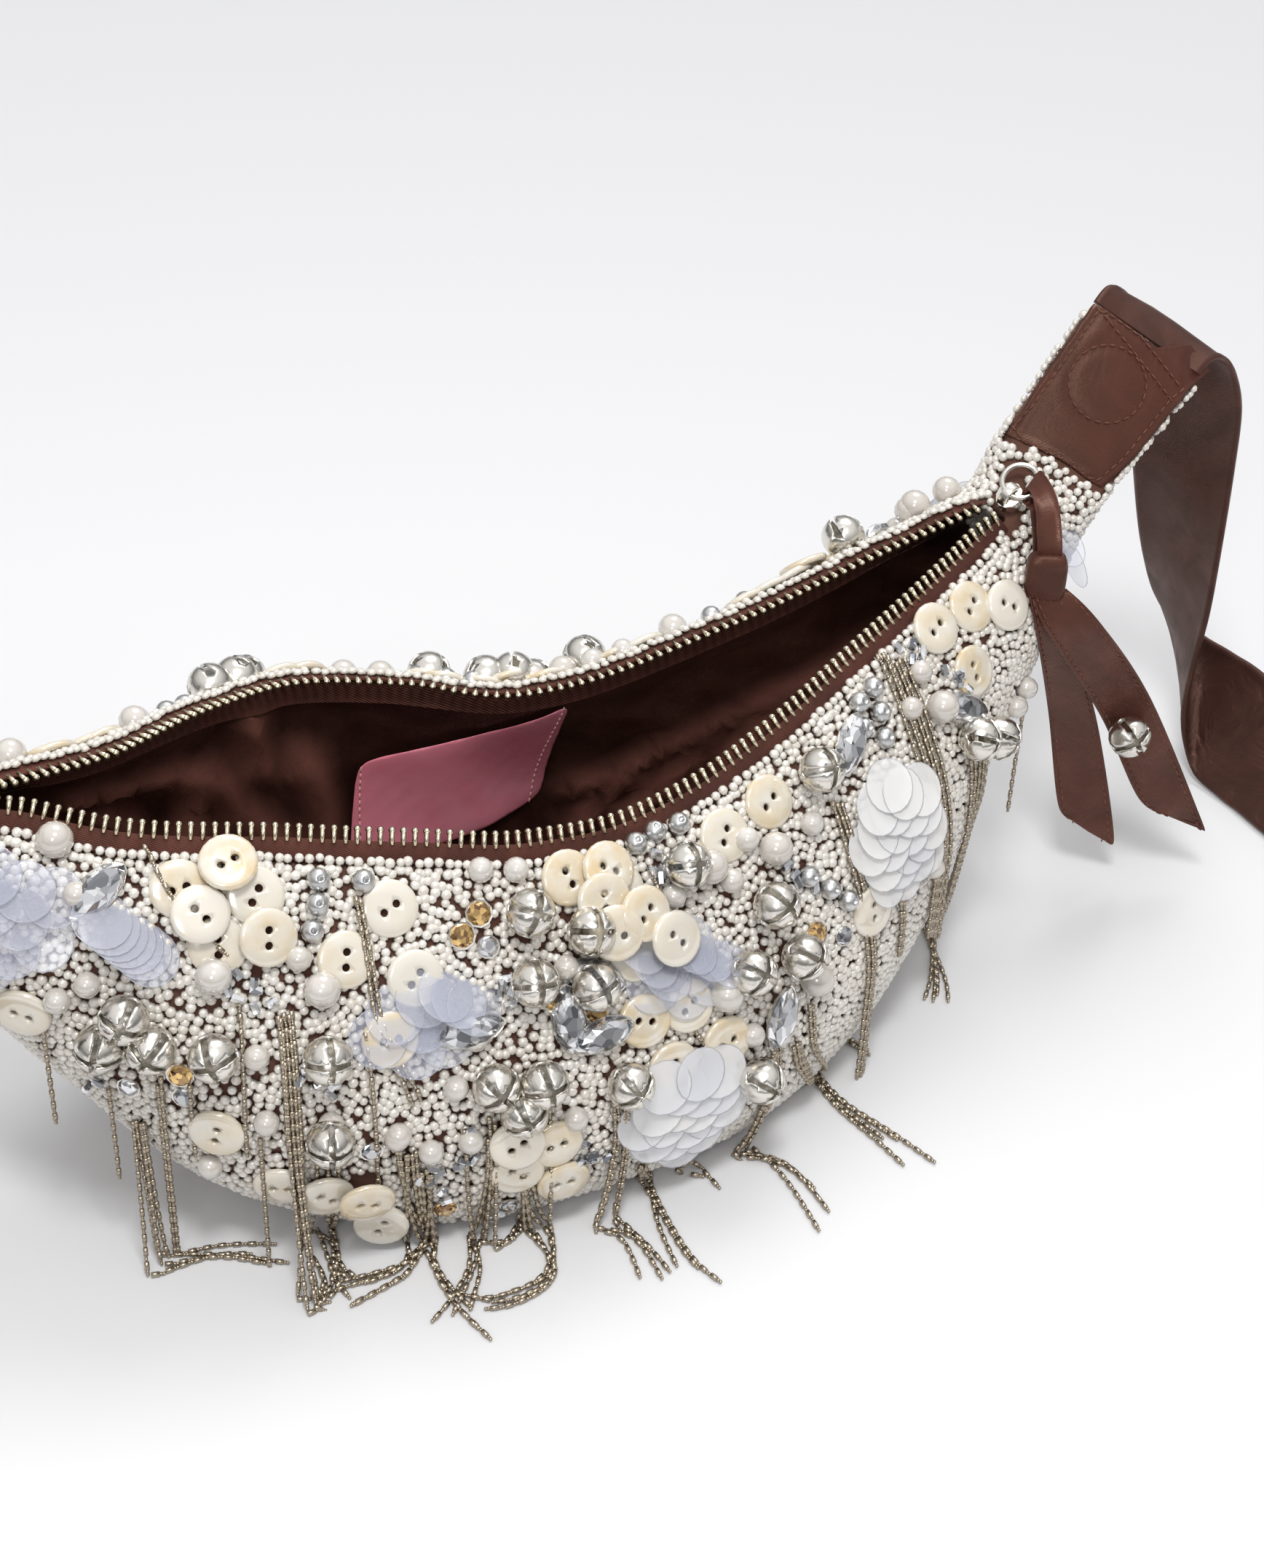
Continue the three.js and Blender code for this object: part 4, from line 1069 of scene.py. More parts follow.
def rings_of(node):
    """The strip's rings of four corners from left to right, found by walking from its left end's middle."""
    bm = merged_node(node)

    def off_middle(vert):
        around = [edge.other_vert(vert).co for edge in vert.link_edges]
        return (sum(around, Vector()) / len(around) - vert.co).length

    ends = sorted(bm.verts, key=off_middle)[:2]
    first = min(ends, key=lambda vert: vert.co.x)
    seen, front_line = {first, *ends}, [first]
    rings = []
    while front_line:
        following = {edge.other_vert(vert) for vert in front_line for edge in vert.link_edges} - seen
        seen |= following
        front_line = list(following)
        if len(front_line) == 4:
            rings.append(sorted((vert.co.copy() for vert in front_line), key=tuple))
    bm.free()
    centres = [sum(ring, Vector()) / 4 for ring in rings]
    ordered = []
    for i, (ring, centre) in enumerate(zip(rings, centres)):
        ahead = way_at(centres, i).normalized()
        over = (UP - ahead * UP.dot(ahead)).normalized()
        beside = ahead.cross(over)
        ring.sort(key=lambda p: math.atan2((p - centre).dot(beside), (p - centre).dot(over)))
        if ordered:
            before, middle = ordered[-1]
            turns = [ring[k:] + ring[:k] for k in range(4)]
            ring = min(turns, key=lambda turn: sum(((a - centre) - (b - middle)).length
                                                   for a, b in zip(turn, before)))
        ordered.append((ring, centre))
    return ordered


def even_points(path, pitch):
    """Points at an even pitch along a path."""
    spaced, left = [path[0]], pitch
    for a, b in zip(path, path[1:]):
        span = (b - a).length
        while left <= span:
            spaced.append(a.lerp(b, left / span))
            left += pitch
        left -= span
    return spaced


INNER_TAPE = 7.0 * MM
INNER_END = 116 * MM
INNER_THICK = 0.5 * MM
# How far before the tape's lower edge, and over what distance, the lining is looked for.
WALL_START = 0.008
WALL_REACH = 0.03


def hanging_half(side, corners):
    """The half of the tape inside the bag, from the teeth down to the lining's edge, and its area."""
    inward = Vector((0, 1 if side == "front" else -1, 0))
    upper, lower = [], []
    for ring in zip(*corners):
        inner = max(ring, key=lambda p: p.dot(inward) - 0.6 * p.z)
        if abs(inner.x) > INNER_END:
            continue
        top = inner - inward * 0.5 * MM + UP * 0.3 * MM
        low = top - UP * INNER_TAPE
        wall = lining_tree.ray_cast(low + inward * WALL_START, -inward, WALL_REACH)[0]
        if wall is not None:
            low.y = wall.y + inward.y * 0.5 * MM
        upper.append(top)
        lower.append(low)
    lower = [lower[0]] + [(a + b + c) / 3 for a, b, c in zip(lower, lower[1:], lower[2:])] + [lower[-1]]
    half = strip(f"inner_tape_{side}", upper[::4], lower[::4], 4, INNER_THICK)[0]
    return half, sum((a - b).length * (a - c).length for a, b, c in zip(upper, lower, upper[1:]))


tooth_places = []
zip_lines = {}
for side in ("front", "back"):
    tape_rings = rings_of(f"zip_tape_{side}")
    tooth_rings = rings_of(f"zip_teeth_{side}")
    print(side, "rings:", len(tape_rings), len(tooth_rings))
    corners = [smooth_curve([ring[0][k] for ring in tape_rings], 5) for k in range(4)]
    tape = rings_solid(f"zip_tape_{side}_woven", list(zip(*corners)), True)
    soft_edge = tape.modifiers.new("edge", "BEVEL")
    soft_edge.width = TAPE_EDGE
    soft_edge.segments = 1
    faces_out(bake(tape))
    inner, inner_area = hanging_half(side, corners)
    tape = joined(f"zip_tape_{side}_woven", [tape, inner])
    dress(tape, ZIP_TAPE, "zip_tape", f"zip_tape_{side}")
    tape_line = smooth_curve([ring[1] for ring in tape_rings], 6)
    tooth_line = smooth_curve([ring[1] for ring in tooth_rings], 6)
    zip_lines[side] = (tape_line, tooth_line)
    spaced = even_points(tooth_line, TOOTH_PITCH)
    for i, point in enumerate(spaced):
        along = way_at(spaced, i)
        across = point - min(tape_line, key=lambda p: (p - point).length)
        across = (across - along * across.dot(along) / along.length_squared).normalized()
        facing = along.cross(across).normalized()
        facing = facing if facing.z > 0 else -facing
        tooth_places.append((point, facing, across, 1.0, rng.random()))
teeth = sew("zip_teeth", tooth_shape, TOOTH_METAL, tooth_places)
dress(teeth, TOOTH_METAL, "tooth_metal", "zip_teeth_front", "zip_teeth_back")
drop(tooth_shape)

# %% [markdown]
# ## Slider and ring
# Both are small nickel castings. The slider keeps its CAD form with rounded edges, and the ring is the
# same wire drawn with more sides. Its centre and axis come from the CAD ring's own points.

# %% Slider and ring
slider = from_bmesh("slider_body", merged_node("zip_slider"))
soften = slider.modifiers.new("soften", "BEVEL")
soften.width = 0.45 * MM
soften.segments = 3
soften.limit_method = "ANGLE"
soften.angle_limit = math.radians(32)
bake(slider)
smooth_faces(slider.data)
dress(slider, NICKEL, "nickel", "zip_slider")

RING_R = 4.4 * MM
WIRE_R = 0.65 * MM
ring_points = node_points("pull_ring")
ring_centre = Vector(ring_points.mean(axis=0))
spread_axes = np.linalg.svd(ring_points - ring_points.mean(axis=0), full_matrices=False)[2]
ring_axis = Vector(spread_axes[2])
ring_axis = ring_axis if ring_axis.z > 0 else -ring_axis
ring_back = (Vector((0, 1, 0)) - ring_axis * ring_axis.y).normalized()
ring_end = ring_back.cross(ring_axis)


def hoop(name, centre, first, second, radius, wire, sides=44, around=12):
    axis = first.cross(second)
    points, faces = [], []
    for i in range(sides):
        angle = 2 * math.pi * i / sides
        out = first * math.cos(angle) + second * math.sin(angle)
        for j in range(around):
            turn = 2 * math.pi * j / around
            points.append(centre + out * (radius + wire * math.cos(turn)) + axis * wire * math.sin(turn))
    for i in range(sides):
        for j in range(around):
            a, b = i * around, (i + 1) % sides * around
            faces.append((a + j, b + j, b + (j + 1) % around, a + (j + 1) % around))
    return new_object(name, points, faces)


ring = hoop("pull_ring_wire", ring_centre, ring_end, ring_back, RING_R, WIRE_R)
dress(ring, NICKEL, "nickel", "pull_ring")

# %% [markdown]
# ## Ribbon pull
# A satin ribbon is looped through the ring, wrapped into a flat band, and hangs in two tails cut on the
# slant. The loop and tails are strips like the strap. The band is a squared ball with two creases, as
# cloth that is wound on itself shows.

# %% Ribbon
KNOT_AT = Vector((131.3, -19.2, 97.9)) * MM
KNOT_HALF = Vector((5.0, 2.8, 6.6)) * MM
TAIL_EDGES = [
    ([(127.6, -16.8, 95), (127.4, -22.6, 87), (140, -17.8, 54), (145.9, -20.3, 24.3), (149.3, -22.1, 19.4)],
     [(135, -21, 95), (136.4, -25, 86), (151.5, -24.2, 50), (159.9, -28.3, 14.3), (158.5, -27.4, 12)]),
    ([(128.2, -18, 94), (129.4, -24, 86.5), (150, -26, 55), (162.7, -31.1, 28.3), (169.2, -34.4, 22.5)],
     [(135.8, -22.2, 95), (143, -28.4, 86.5), (160.6, -31.6, 60.5), (178.7, -39.7, 20.5),
      (178.6, -39.7, 19.3)]),
]
RIBBON_THICK = 0.8 * MM
RIBBON_RIPPLE = 0.8 * MM
# Where the stitches run, in shares across the ribbon and of its thickness.
RIBBON_SEAMS = (0.1, 0.9)
RIBBON_STITCH = 0.42
LOOP_WIDE = 6.0 * MM
LOOP_R = 2.1 * MM
LOOP_TURN = math.radians(-72)

on_ring = ring_centre + (ring_end * math.cos(LOOP_TURN) + ring_back * math.sin(LOOP_TURN)) * RING_R
wire_way = ring_back * math.cos(LOOP_TURN) - ring_end * math.sin(LOOP_TURN)
level_way = Vector((wire_way.x, wire_way.y, 0)).normalized()
front_way = Vector((wire_way.y, -wire_way.x, 0)).normalized()
to_knot = KNOT_AT - on_ring
reach, drift, sink = to_knot.dot(front_way), to_knot.dot(level_way), to_knot.z
band_way = Vector((math.cos(AZIMUTH), math.sin(AZIMUTH), 0))
band_out = Vector((band_way.y, -band_way.x, 0))
LOOP_PATH = [(reach - 0.8 * MM, sink + 2 * MM), (reach * 0.7, sink * 0.45), (LOOP_R * 1.3, -LOOP_R),
             (0, -LOOP_R), (-LOOP_R * 0.7, -LOOP_R * 0.7), (-LOOP_R, 0), (-LOOP_R * 0.7, LOOP_R * 0.7),
             (0, LOOP_R), (reach * 0.55, 0.6 * MM), (reach * 0.95, sink * 0.4),
             (reach + 0.8 * MM, sink + 2 * MM)]


def loop_edge(sign):
    edge = []
    for ahead, rise in LOOP_PATH:
        share = clamped(ahead / reach)
        sideways = wire_way.lerp(band_way, share).normalized() * sign * LOOP_WIDE / 2
        edge.append(on_ring + front_way * ahead + level_way * drift * share + sideways + UP * rise)
    return edge


def band(name):
    """The wound band: a squared ball with a slanting crease on each face."""
    rows, sides = 18, 36
    points = []
    for row in range(rows + 1):
        lat = math.pi * (row / rows - 0.5)
        for i in range(sides):
            lon = 2 * math.pi * i / sides
            flat = [math.cos(lat) * math.cos(lon), math.cos(lat) * math.sin(lon), math.sin(lat)]
            square = [math.copysign(abs(value) ** 0.45, value) for value in flat]
            groove = math.exp(-((square[2] - 0.3 - 0.35 * square[0]) / 0.11) ** 2)
            second = math.exp(-((square[2] + 0.42 - 0.25 * square[0]) / 0.1) ** 2)
            swell = 1 - 0.13 * groove - 0.1 * second
            points.append(KNOT_AT + band_way * (square[0] * KNOT_HALF.x * (0.94 + 0.06 * swell))
                          + band_out * (square[1] * KNOT_HALF.y * swell) + UP * (square[2] * KNOT_HALF.z))
    bm = bmesh.new()
    verts = [bm.verts.new(point) for point in points]
    for face in ring_faces(rows + 1, sides):
        bm.faces.new([verts[k] for k in face])
    bmesh.ops.remove_doubles(bm, verts=bm.verts, dist=1e-6)
    bmesh.ops.dissolve_degenerate(bm, dist=1e-7, edges=bm.edges)
    bmesh.ops.recalc_face_normals(bm, faces=bm.faces)
    return from_bmesh(name, bm)


ribbon_parts = [strip("ribbon_loop", loop_edge(-1), loop_edge(1), 4, RIBBON_THICK)[0], band("ribbon_band")]
stitch_paths = {"ribbon": [], "satin": [], "label": []}
tail_area = 0
for back, front in TAIL_EDGES:
    tail, back_edge, front_edge = strip("ribbon_tail", in_metres(back), in_metres(front), 14, RIBBON_THICK,
                                        RIBBON_RIPPLE)
    ribbon_parts.append(tail)
    for a, b, c, d in zip(back_edge, front_edge, back_edge[1:], front_edge[1:]):
        tail_area += ((a - c).length + (b - d).length) / 2 * (a - b).length
    for share in RIBBON_SEAMS:
        path = []
        for row, (a, b) in enumerate(zip(back_edge, front_edge)):
            out = way_at(back_edge, row).cross(b - a).normalized()
            out = out if out.y < 0 else -out
            path.append(a.lerp(b, share) + out * RIBBON_THICK * RIBBON_STITCH)
        stitch_paths["ribbon"].append(path)
ribbon = joined("ribbon_pull", ribbon_parts)
dress(ribbon, RIBBON_SATIN, "satin", "pull_ribbon")
print("ribbon tails cover", round(tail_area * 1e4, 1), "square centimetres")

# %% [markdown]
# ## Tab facings
# The inside of each end tab is faced with satin, sewn down round its edge and round a hidden magnet. The
# CAD facing gives the outline: rays from above find where it starts and ends. One smooth bend is fitted
# through its heights by least squares, so that the satin lies flat, and it runs on a little towards the
# bag. The satin puffs between the stitch lines, so its height falls away close to them.

# %% Tab facings
MAGNET_R = 9.5 * MM
EDGE_STITCH = 1.8 * MM
PUFF = 0.28 * MM
FACING_DEEP = 1.0 * MM
FACING_OVER = 1.6 * MM
FACING_MORE = 30
FACING_STITCH = 0.2 * MM
SEAM_ROW = 5
MAGNET_X = 161 * MM
# The facing is felt out by rays on a grid of this half count; a row counts with more hits than the least.
PROBES = 80
LEAST_HITS = 20
# The facing's slant near the bag is taken over this many rows.
SLANT_ROWS = 20
facing_trees = {}


def facing_sheet(node, name):
    mesh = merged_node(node)
    tree = BVHTree.FromBMesh(mesh)
    mesh.free()
    low, high = [Vector(corner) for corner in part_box(node)]
    centre = (low + high) / 2
    hit, normal, _, _ = tree.ray_cast(Vector((centre.x, centre.y, high.z + 0.02)), -UP)
    normal = normal if normal.z > 0 else -normal
    across = Vector((0, 1, 0))
    across = (across - normal * across.dot(normal)).normalized()
    along = across.cross(normal)
    rows, columns = 34, 30
    lines = []
    reach_along, reach_across = 19 * MM, 17 * MM

    def drop_on(surface, a, b):
        return surface.ray_cast(hit + along * a + across * b + normal * 0.02, -normal, 0.04)[0]

    for row in range(2 * PROBES + 1):
        a = reach_along * (row / PROBES - 1)
        tries = [reach_across * (column / PROBES - 1) for column in range(2 * PROBES + 1)]
        hits = [b for b in tries if drop_on(tree, a, b) is not None]
        if len(hits) > LEAST_HITS:
            lines.append((a, hits[0], hits[-1]))
    from_bag = lines if centre.x > 0 else lines[::-1]
    added = []
    for k in range(1, FACING_MORE + 1):
        added.append(tuple(near + (near - far) * k / SLANT_ROWS
                           for near, far in zip(from_bag[0], from_bag[SLANT_ROWS])))
    lines = added[::-1] + lines if centre.x > 0 else lines + added
    magnet = magnet_centre(tree, node)
    magnet_ab = ((magnet - hit).dot(along), (magnet - hit).dot(across))

    def terms(a, b):
        return (1, a, b, a * a, a * b, b * b)

    rows_known, heights_known = [], []
    for a, left, right in lines[::6]:
        for column in range(1, 16):
            b = left + (right - left) * column / 16
            top = drop_on(tree, a, b)
            if top is None:
                top = drop_on(cloth_tree, a, b)
                top = top + normal * 0.7 * MM if top is not None else None
            if top is not None and math.dist((a, b), magnet_ab) > MAGNET_R + 2.5 * MM:
                rows_known.append(terms(a, b))
                heights_known.append((top - hit).dot(normal))
    bend = np.linalg.lstsq(np.array(rows_known), np.array(heights_known), rcond=None)[0]

    def sheet_height(a, b):
        """Height of the satin: one smooth bend, but never under the cloth."""
        under = drop_on(cloth_tree, a, b)
        low = (under - hit).dot(normal) + 0.3 * MM if under is not None else -1
        return max(float(np.dot(bend, terms(a, b))), low)

    grid = []
    for row in range(rows + 1):
        a, left, right = lines[round(row / rows * (len(lines) - 1))]
        left, right = left - FACING_OVER, right + FACING_OVER
        outer_end = row == rows if centre.x > 0 else row == 0
        further = (6.0 * MM if outer_end else 0) * ((row == rows) - (row == 0))
        for column in range(columns + 1):
            b = left + (right - left) * column / columns
            inner = min(right - FACING_OVER, max(left + FACING_OVER, b))
            to_edge = min(b - left, right - b, a - lines[0][0], lines[-1][0] - a)
            to_circle = abs(math.dist((a, b), magnet_ab) - MAGNET_R)
            soft = min(1 - math.exp(-((to_edge - EDGE_STITCH) / 0.0016) ** 2),
                       1 - math.exp(-(to_circle / 0.0014) ** 2))
            lift = PUFF * soft if to_edge > 0.0004 else 0
            lift -= 0.7 * MM if outer_end else 0
            grid.append(hit + along * (a + further) + across * b + normal * (sheet_height(a, inner) + lift))
    points = grid + [point - normal * FACING_DEEP for point in grid]
    width = columns + 1
    count = len(grid)
    faces = []
    for row in range(rows):
        for column in range(columns):
            k = row * width + column
            faces.append((k, k + 1, k + width + 1, k + width))
            faces.append((count + k, count + k + width, count + k + width + 1, count + k + 1))
    border = (list(range(columns)) + [r * width + columns for r in range(rows)]
              + [rows * width + c for c in range(columns, 0, -1)] + [r * width for r in range(rows, 0, -1)])
    for k, here in enumerate(border):
        after = border[(k + 1) % len(border)]
        faces.append((here, after, count + after, count + here))
    inset = [grid[r * width + c] for r, c in
             [(2, c) for c in range(2, columns - 1)] + [(r, columns - 2) for r in range(2, rows - 1)]
             + [(rows - 2, c) for c in range(columns - 2, 1, -1)] + [(r, 2) for r in range(rows - 2, 1, -1)]]
    circle = []
    for i in range(61):
        turn = 2 * math.pi * i / 60
        a = magnet_ab[0] + math.cos(turn) * MAGNET_R
        b = magnet_ab[1] + math.sin(turn) * MAGNET_R
        circle.append(hit + along * a + across * b + normal * (sheet_height(a, b) + FACING_STITCH))
    seam_row = rows - SEAM_ROW if centre.x > 0 else SEAM_ROW
    seam = [grid[seam_row * width + c] + normal * FACING_STITCH for c in range(2, columns - 1)]
    stitch_paths["satin"].extend([[p + normal * FACING_STITCH for p in inset + inset[:1]], circle, seam])
    return faces_out(new_object(name, points, faces))


def magnet_centre(tree, node):
    """The middle of the hidden magnet, found from above."""
    side = 1 if "right" in node else -1
    low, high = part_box(node)
    return tree.ray_cast(Vector((side * MAGNET_X, (low[1] + high[1]) / 2, 0.3)), -UP)[0]


for side in ("right", "left"):
    facing = facing_sheet(f"tab_facing_{side}", f"satin_facing_{side}")
    dress(facing, FACING_SATIN, "satin", f"tab_facing_{side}")
    facing_trees[side] = tree_of(facing)

# %% [markdown]
# ## Stitches
# Each seam is a row of short threads. The paths were kept while the cloth was made, so one tree threads
# a stitch along all of them at an even pitch.

# %% Stitches
STITCH_PITCH = 2.3 * MM
STITCH_LIFT = 0.1 * MM
# Where the label's two ends are sewn down, in shares of its width.
LABEL_SEAMS = (0.07, 0.93)
SEAM_STEPS = 60
label_tree = tree_of(label)
for share in LABEL_SEAMS:
    x = label_low.x + (label_high.x - label_low.x) * share
    seam = []
    for i in range(SEAM_STEPS):
        z = label_low.z + (label_high.z - label_low.z) * i / (SEAM_STEPS - 1)
        front = label_tree.ray_cast(Vector((x, -0.05, z)), Vector((0, 1, 0)))[0]
        if front is not None:
            seam.append(front - Vector((0, STITCH_LIFT, 0)))
    stitch_paths["label"].append(seam)
    print("label seam", round(path_length(seam) / MM, 1), "mm")
for key, material, slot in (("ribbon", STITCH_THREAD, "satin"), ("satin", STITCH_THREAD, "satin"),
                            ("label", PINK_THREAD, "label")):
    dress(thread(f"stitches_{key}", stitch_shape, material, STITCH_PITCH, stitch_paths[key]), material, slot)
drop(stitch_shape)

# %% [markdown]
# ## Trim from the photograph
# Bells, buttons, pearls and stones lie over the beads in loose groups. The largest are CAD nodes, whose
# places are kept; the rest are placed by the pixel where the photograph shows them, so each row below is
# a list of pixels. A piece stands off the cloth, so its foot is moved until the piece itself shows at
# its pixel. The hidden back carries the same trim, turned about the bag's middle.

# %% Places of the trim
BELL_PX = [(163, 1401), (207, 1443), (286, 1433), (431, 1437), (136, 1440), (724, 1262), (785, 1273),
           (726, 1321), (787, 1311), (930, 1189), (1049, 1257), (1019, 1309), (1078, 1311), (852, 1468),
           (735, 1468), (682, 1495), (720, 1531), (1030, 1463), (1100, 1034), (1346, 1015), (1385, 1030),
           (1410, 988), (454, 1572)]
BUTTON_PX = [(251, 1185), (312, 1189), (384, 1227), (274, 1256), (322, 1264), (366, 1287), (536, 1250),
             (561, 1313), (492, 1319), (519, 1373), (33, 1388), (778, 1206), (829, 1195), (820, 1237),
             (862, 1227), (871, 1254), (862, 1306), (833, 1279), (913, 1287), (977, 1128), (1036, 1084),
             (919, 1451), (974, 1424), (883, 1401), (942, 1375), (1199, 1252), (387, 1625), (448, 1631),
             (503, 1631), (524, 1671), (299, 1553), (709, 1606), (772, 1618), (762, 1568), (707, 1564),
             (1329, 818), (1381, 832), (1282, 864), (1334, 881)]
STONE_PX = [(159, 1189), (812, 1340), (716, 1420), (789, 1451), (1042, 1390), (776, 1397), (1143, 1007)]
AMBER_PX = [(655, 1255), (632, 1285), (757, 1370), (815, 1385), (1115, 1280), (1115, 1315), (610, 1650),
            (250, 1470)]
CLEAR_PX = [(668, 1300), (1153, 1283), (255, 1501), (180, 1487), (509, 1575), (684, 1656), (696, 1648),
            (672, 1664)]
PEARL_8_PX = [(75, 1154), (293, 1342), (442, 1361), (977, 1191), (1066, 1166), (999, 1367), (1122, 1346),
              (1295, 971)]
PEARL_6_PX = [(105, 1229), (119, 1353), (410, 1317), (78, 1375), (352, 1453), (366, 1543), (455, 1545),
              (545, 1564), (660, 1195), (709, 1195), (778, 1329), (1005, 1210), (1026, 1153), (925, 1231),
              (1034, 1422), (1070, 1422), (653, 1427), (1115, 1131), (1264, 923), (1251, 973),
              (1281, 1191), (1396, 971), (1419, 936), (592, 1583), (548, 1560), (647, 1568), (791, 1537),
              (626, 1495), (289, 1602)]
SILVER_PX = [(437, 1208), (499, 1210), (436, 1242), (429, 1279), (873, 1158), (900, 1143), (930, 1128),
             (1199, 944), (1180, 965), (1209, 978), (1186, 1000), (1215, 1013), (1111, 1204),
             (1140, 1221), (1165, 1237)]

BELL_R = 5.4 * MM
BUTTON_R = 6.3 * MM
STONE_HALF = 7.7 * MM
CHATON_R = 3.0 * MM
SILVER_R = 2.6 * MM
PEARL_8_R = 4.0 * MM
PEARL_6_R = 2.9 * MM
SAME_PX = 80
MIDDLE_PX = Vector((870, 1290))
# Seating a piece: how often its foot is moved, how far it may miss, and the step and share of each move.
SEAT_TRIES = 8
SEAT_MISS_PX = 40
SEAT_STEP_PX = 8
SEAT_SHARE = 0.8
# Trim stays off the floor by this share of its size; a button under the belly is tipped up.
FLOOR_SHARE = 1.05
UNDER_BELLY = -0.2
# Stacked buttons lean by this much, in so many levels at most.
LEAN = 0.14
TOP_LEVEL = 3
RIM_SPOTS = 240


def turn_on(normal, degrees):
    """A direction on the surface, turned from level."""
    side = UP.cross(normal)
    side = side.normalized() if side.length > 1e-4 else Vector((1, 0, 0))
    return Matrix.Rotation(math.radians(degrees), 3, normal) @ side


def node_place(node, sink):
    """The place of a CAD piece: its foot on the cloth, and the direction it stands out."""
    points = node_points(node)
    centre = Vector(points.mean(axis=0))
    out = (centre - cloth_tree.find_nearest(centre)[0]).normalized()
    axes = np.linalg.svd(points - points.mean(axis=0), full_matrices=False)[2]
    return centre - out * sink, out, Vector(axes[0])


def seated(px, py, lift):
    """The place on the bag whose lifted point shows at a pixel; off the bag it is looked for inwards."""
    aim = Vector((px, py))
    best = None
    for _ in range(SEAT_TRIES):
        found = on_bag(*aim)
        if found is None:
            aim += (MIDDLE_PX - aim).normalized() * SEAT_STEP_PX
            continue
        here = Vector(to_pixel(found[0] + found[1] * lift))
        miss = Vector((px, py)) - here
        if best is None or miss.length < best[0]:
            best = (miss.length, found)
        aim += miss * SEAT_SHARE
    return best[1] if best is not None and best[0] < SEAT_MISS_PX else None


def nodes_named(kind):
    return sorted(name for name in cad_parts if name.startswith(kind + "_"))


def places_for(kind, pixels, size, sink, lift, with_back=True):
    """Places of a kind of trim: its CAD nodes first, then the pixels that no node covers, then the back."""
    places = []
    free = list(pixels)
    for node in nodes_named(kind) if kind else []:
        point, out, along = node_place(node, sink)
        places.append((point, out, along, size, rng.random()))
        here = to_pixel(point)
        nearest = min(free, key=lambda pixel: math.dist(pixel, here))
        if math.dist(nearest, here) < SAME_PX:
            free.remove(nearest)
    for px, py in free:
        found = seated(px, py, lift)
        if found is None:
            continue
        point, normal = found
        if kind == "button" and normal.z < UNDER_BELLY:
            point = point + normal * 1.5 * MM
            normal = normal.lerp(Vector((normal.x, normal.y, 0.2)).normalized(), 0.6).normalized()
        spin = rng.uniform(0, 180)
        if (point + normal * lift).z < size * FLOOR_SHARE:
            continue
        places.append((point + normal * lift, normal, turn_on(normal, spin), size, rng.random()))
    if with_back:
        for point, _, _, scale, shade in list(places):
            found = on_back(-point.x, point.z)
            if found is not None and found[1].y > 0.1:
                foot, normal = found
                if (foot + normal * lift).z > size * FLOOR_SHARE:
                    along = turn_on(normal, rng.uniform(0, 180))
                    places.append((foot + normal * lift, normal, along, scale, shade))
    return places


def stacked(places, reach, step):
    """Places lifted and tipped so that a flat piece lies on the earlier ones that it overlaps."""
    levels, result = [], []
    for point, out, along, size, shade in places:
        under = [i for i, (other, *_) in enumerate(places[:len(levels)]) if (other - point).length < reach]
        level = 1 + max(levels[i] for i in under) if under else 0
        lean = sum((point - places[i][0] for i in under), Vector())
        lean -= out * lean.dot(out)
        tipped = (out + lean.normalized() * LEAN).normalized() if under and lean.length > 0 else out
        levels.append(min(level, TOP_LEVEL))
        result.append((point + out * step * levels[-1], tipped, along, size, shade))
    return result


def on_back_rim(px, below):
    """A place on the back wall, just below its rim, that stands over a pixel column of the photograph."""
    spots = []
    line = zip_lines["back"][0]
    for i in range(RIM_SPOTS):
        rim = line[i * (len(line) - 1) // (RIM_SPOTS - 1)]
        found = on_back(rim.x, rim.z - below)
        if found is not None:
            spots.append((abs(to_pixel(found[0])[0] - px), found))
    return min(spots, key=lambda spot: spot[0])[1]


def rim_places(columns, size, lift, below=5 * MM):
    places = []
    for px in columns:
        point, normal = on_back_rim(px, below)
        along = turn_on(normal, rng.uniform(0, 180))
        places.append((point + normal * lift, normal, along, size, rng.random()))
    return places


# Middle pixels of the clusters of bugle beads.
BUGLE_PX = [(1305, 925), (1232, 905), (338, 1349), (437, 1478), (597, 1613), (646, 1574), (811, 1569),
            (696, 1354), (1085, 1215), (120, 1490), (905, 1180)]
BUGLE_R = 0.95 * MM
BUGLE_COUNT = 7
BUGLE_SPREAD_PX = 15
BUGLE_LIFT = 2.2 * MM
RIM_BUTTON_PX = [73, 140, 386, 420, 586, 612, 661, 850, 885, 1030, 1062, 1090]
RIM_BELL_PX = [310, 338, 672, 712, 1170]
RIM_PEARL_PX = [20, 200, 470, 520, 730, 776, 930, 1255, 1310]
trim = {
    "bell": places_for("bell", BELL_PX, BELL_R, 0, BELL_R + 0.3 * MM),
    "button": stacked(places_for("button", BUTTON_PX, BUTTON_R, 0.9 * MM, 1.3 * MM), 10.5 * MM, 1.6 * MM),
    "stone": places_for("stone", STONE_PX, STONE_HALF, 1.9 * MM, 0.6 * MM),
    "amber": places_for("", AMBER_PX, CHATON_R, 0, 0.2 * MM),
    "clear": places_for("", CLEAR_PX, CHATON_R * 0.85, 0, 0.2 * MM),
    "pearl_8": places_for("", PEARL_8_PX, PEARL_8_R, 0, 3.6 * MM),
    "pearl_6": places_for("", PEARL_6_PX, PEARL_6_R, 0, 2.5 * MM),
    "silver": places_for("", SILVER_PX, SILVER_R, 0, 2.3 * MM),
}
trim["bell"] += rim_places(RIM_BELL_PX, BELL_R, BELL_R * 0.95)
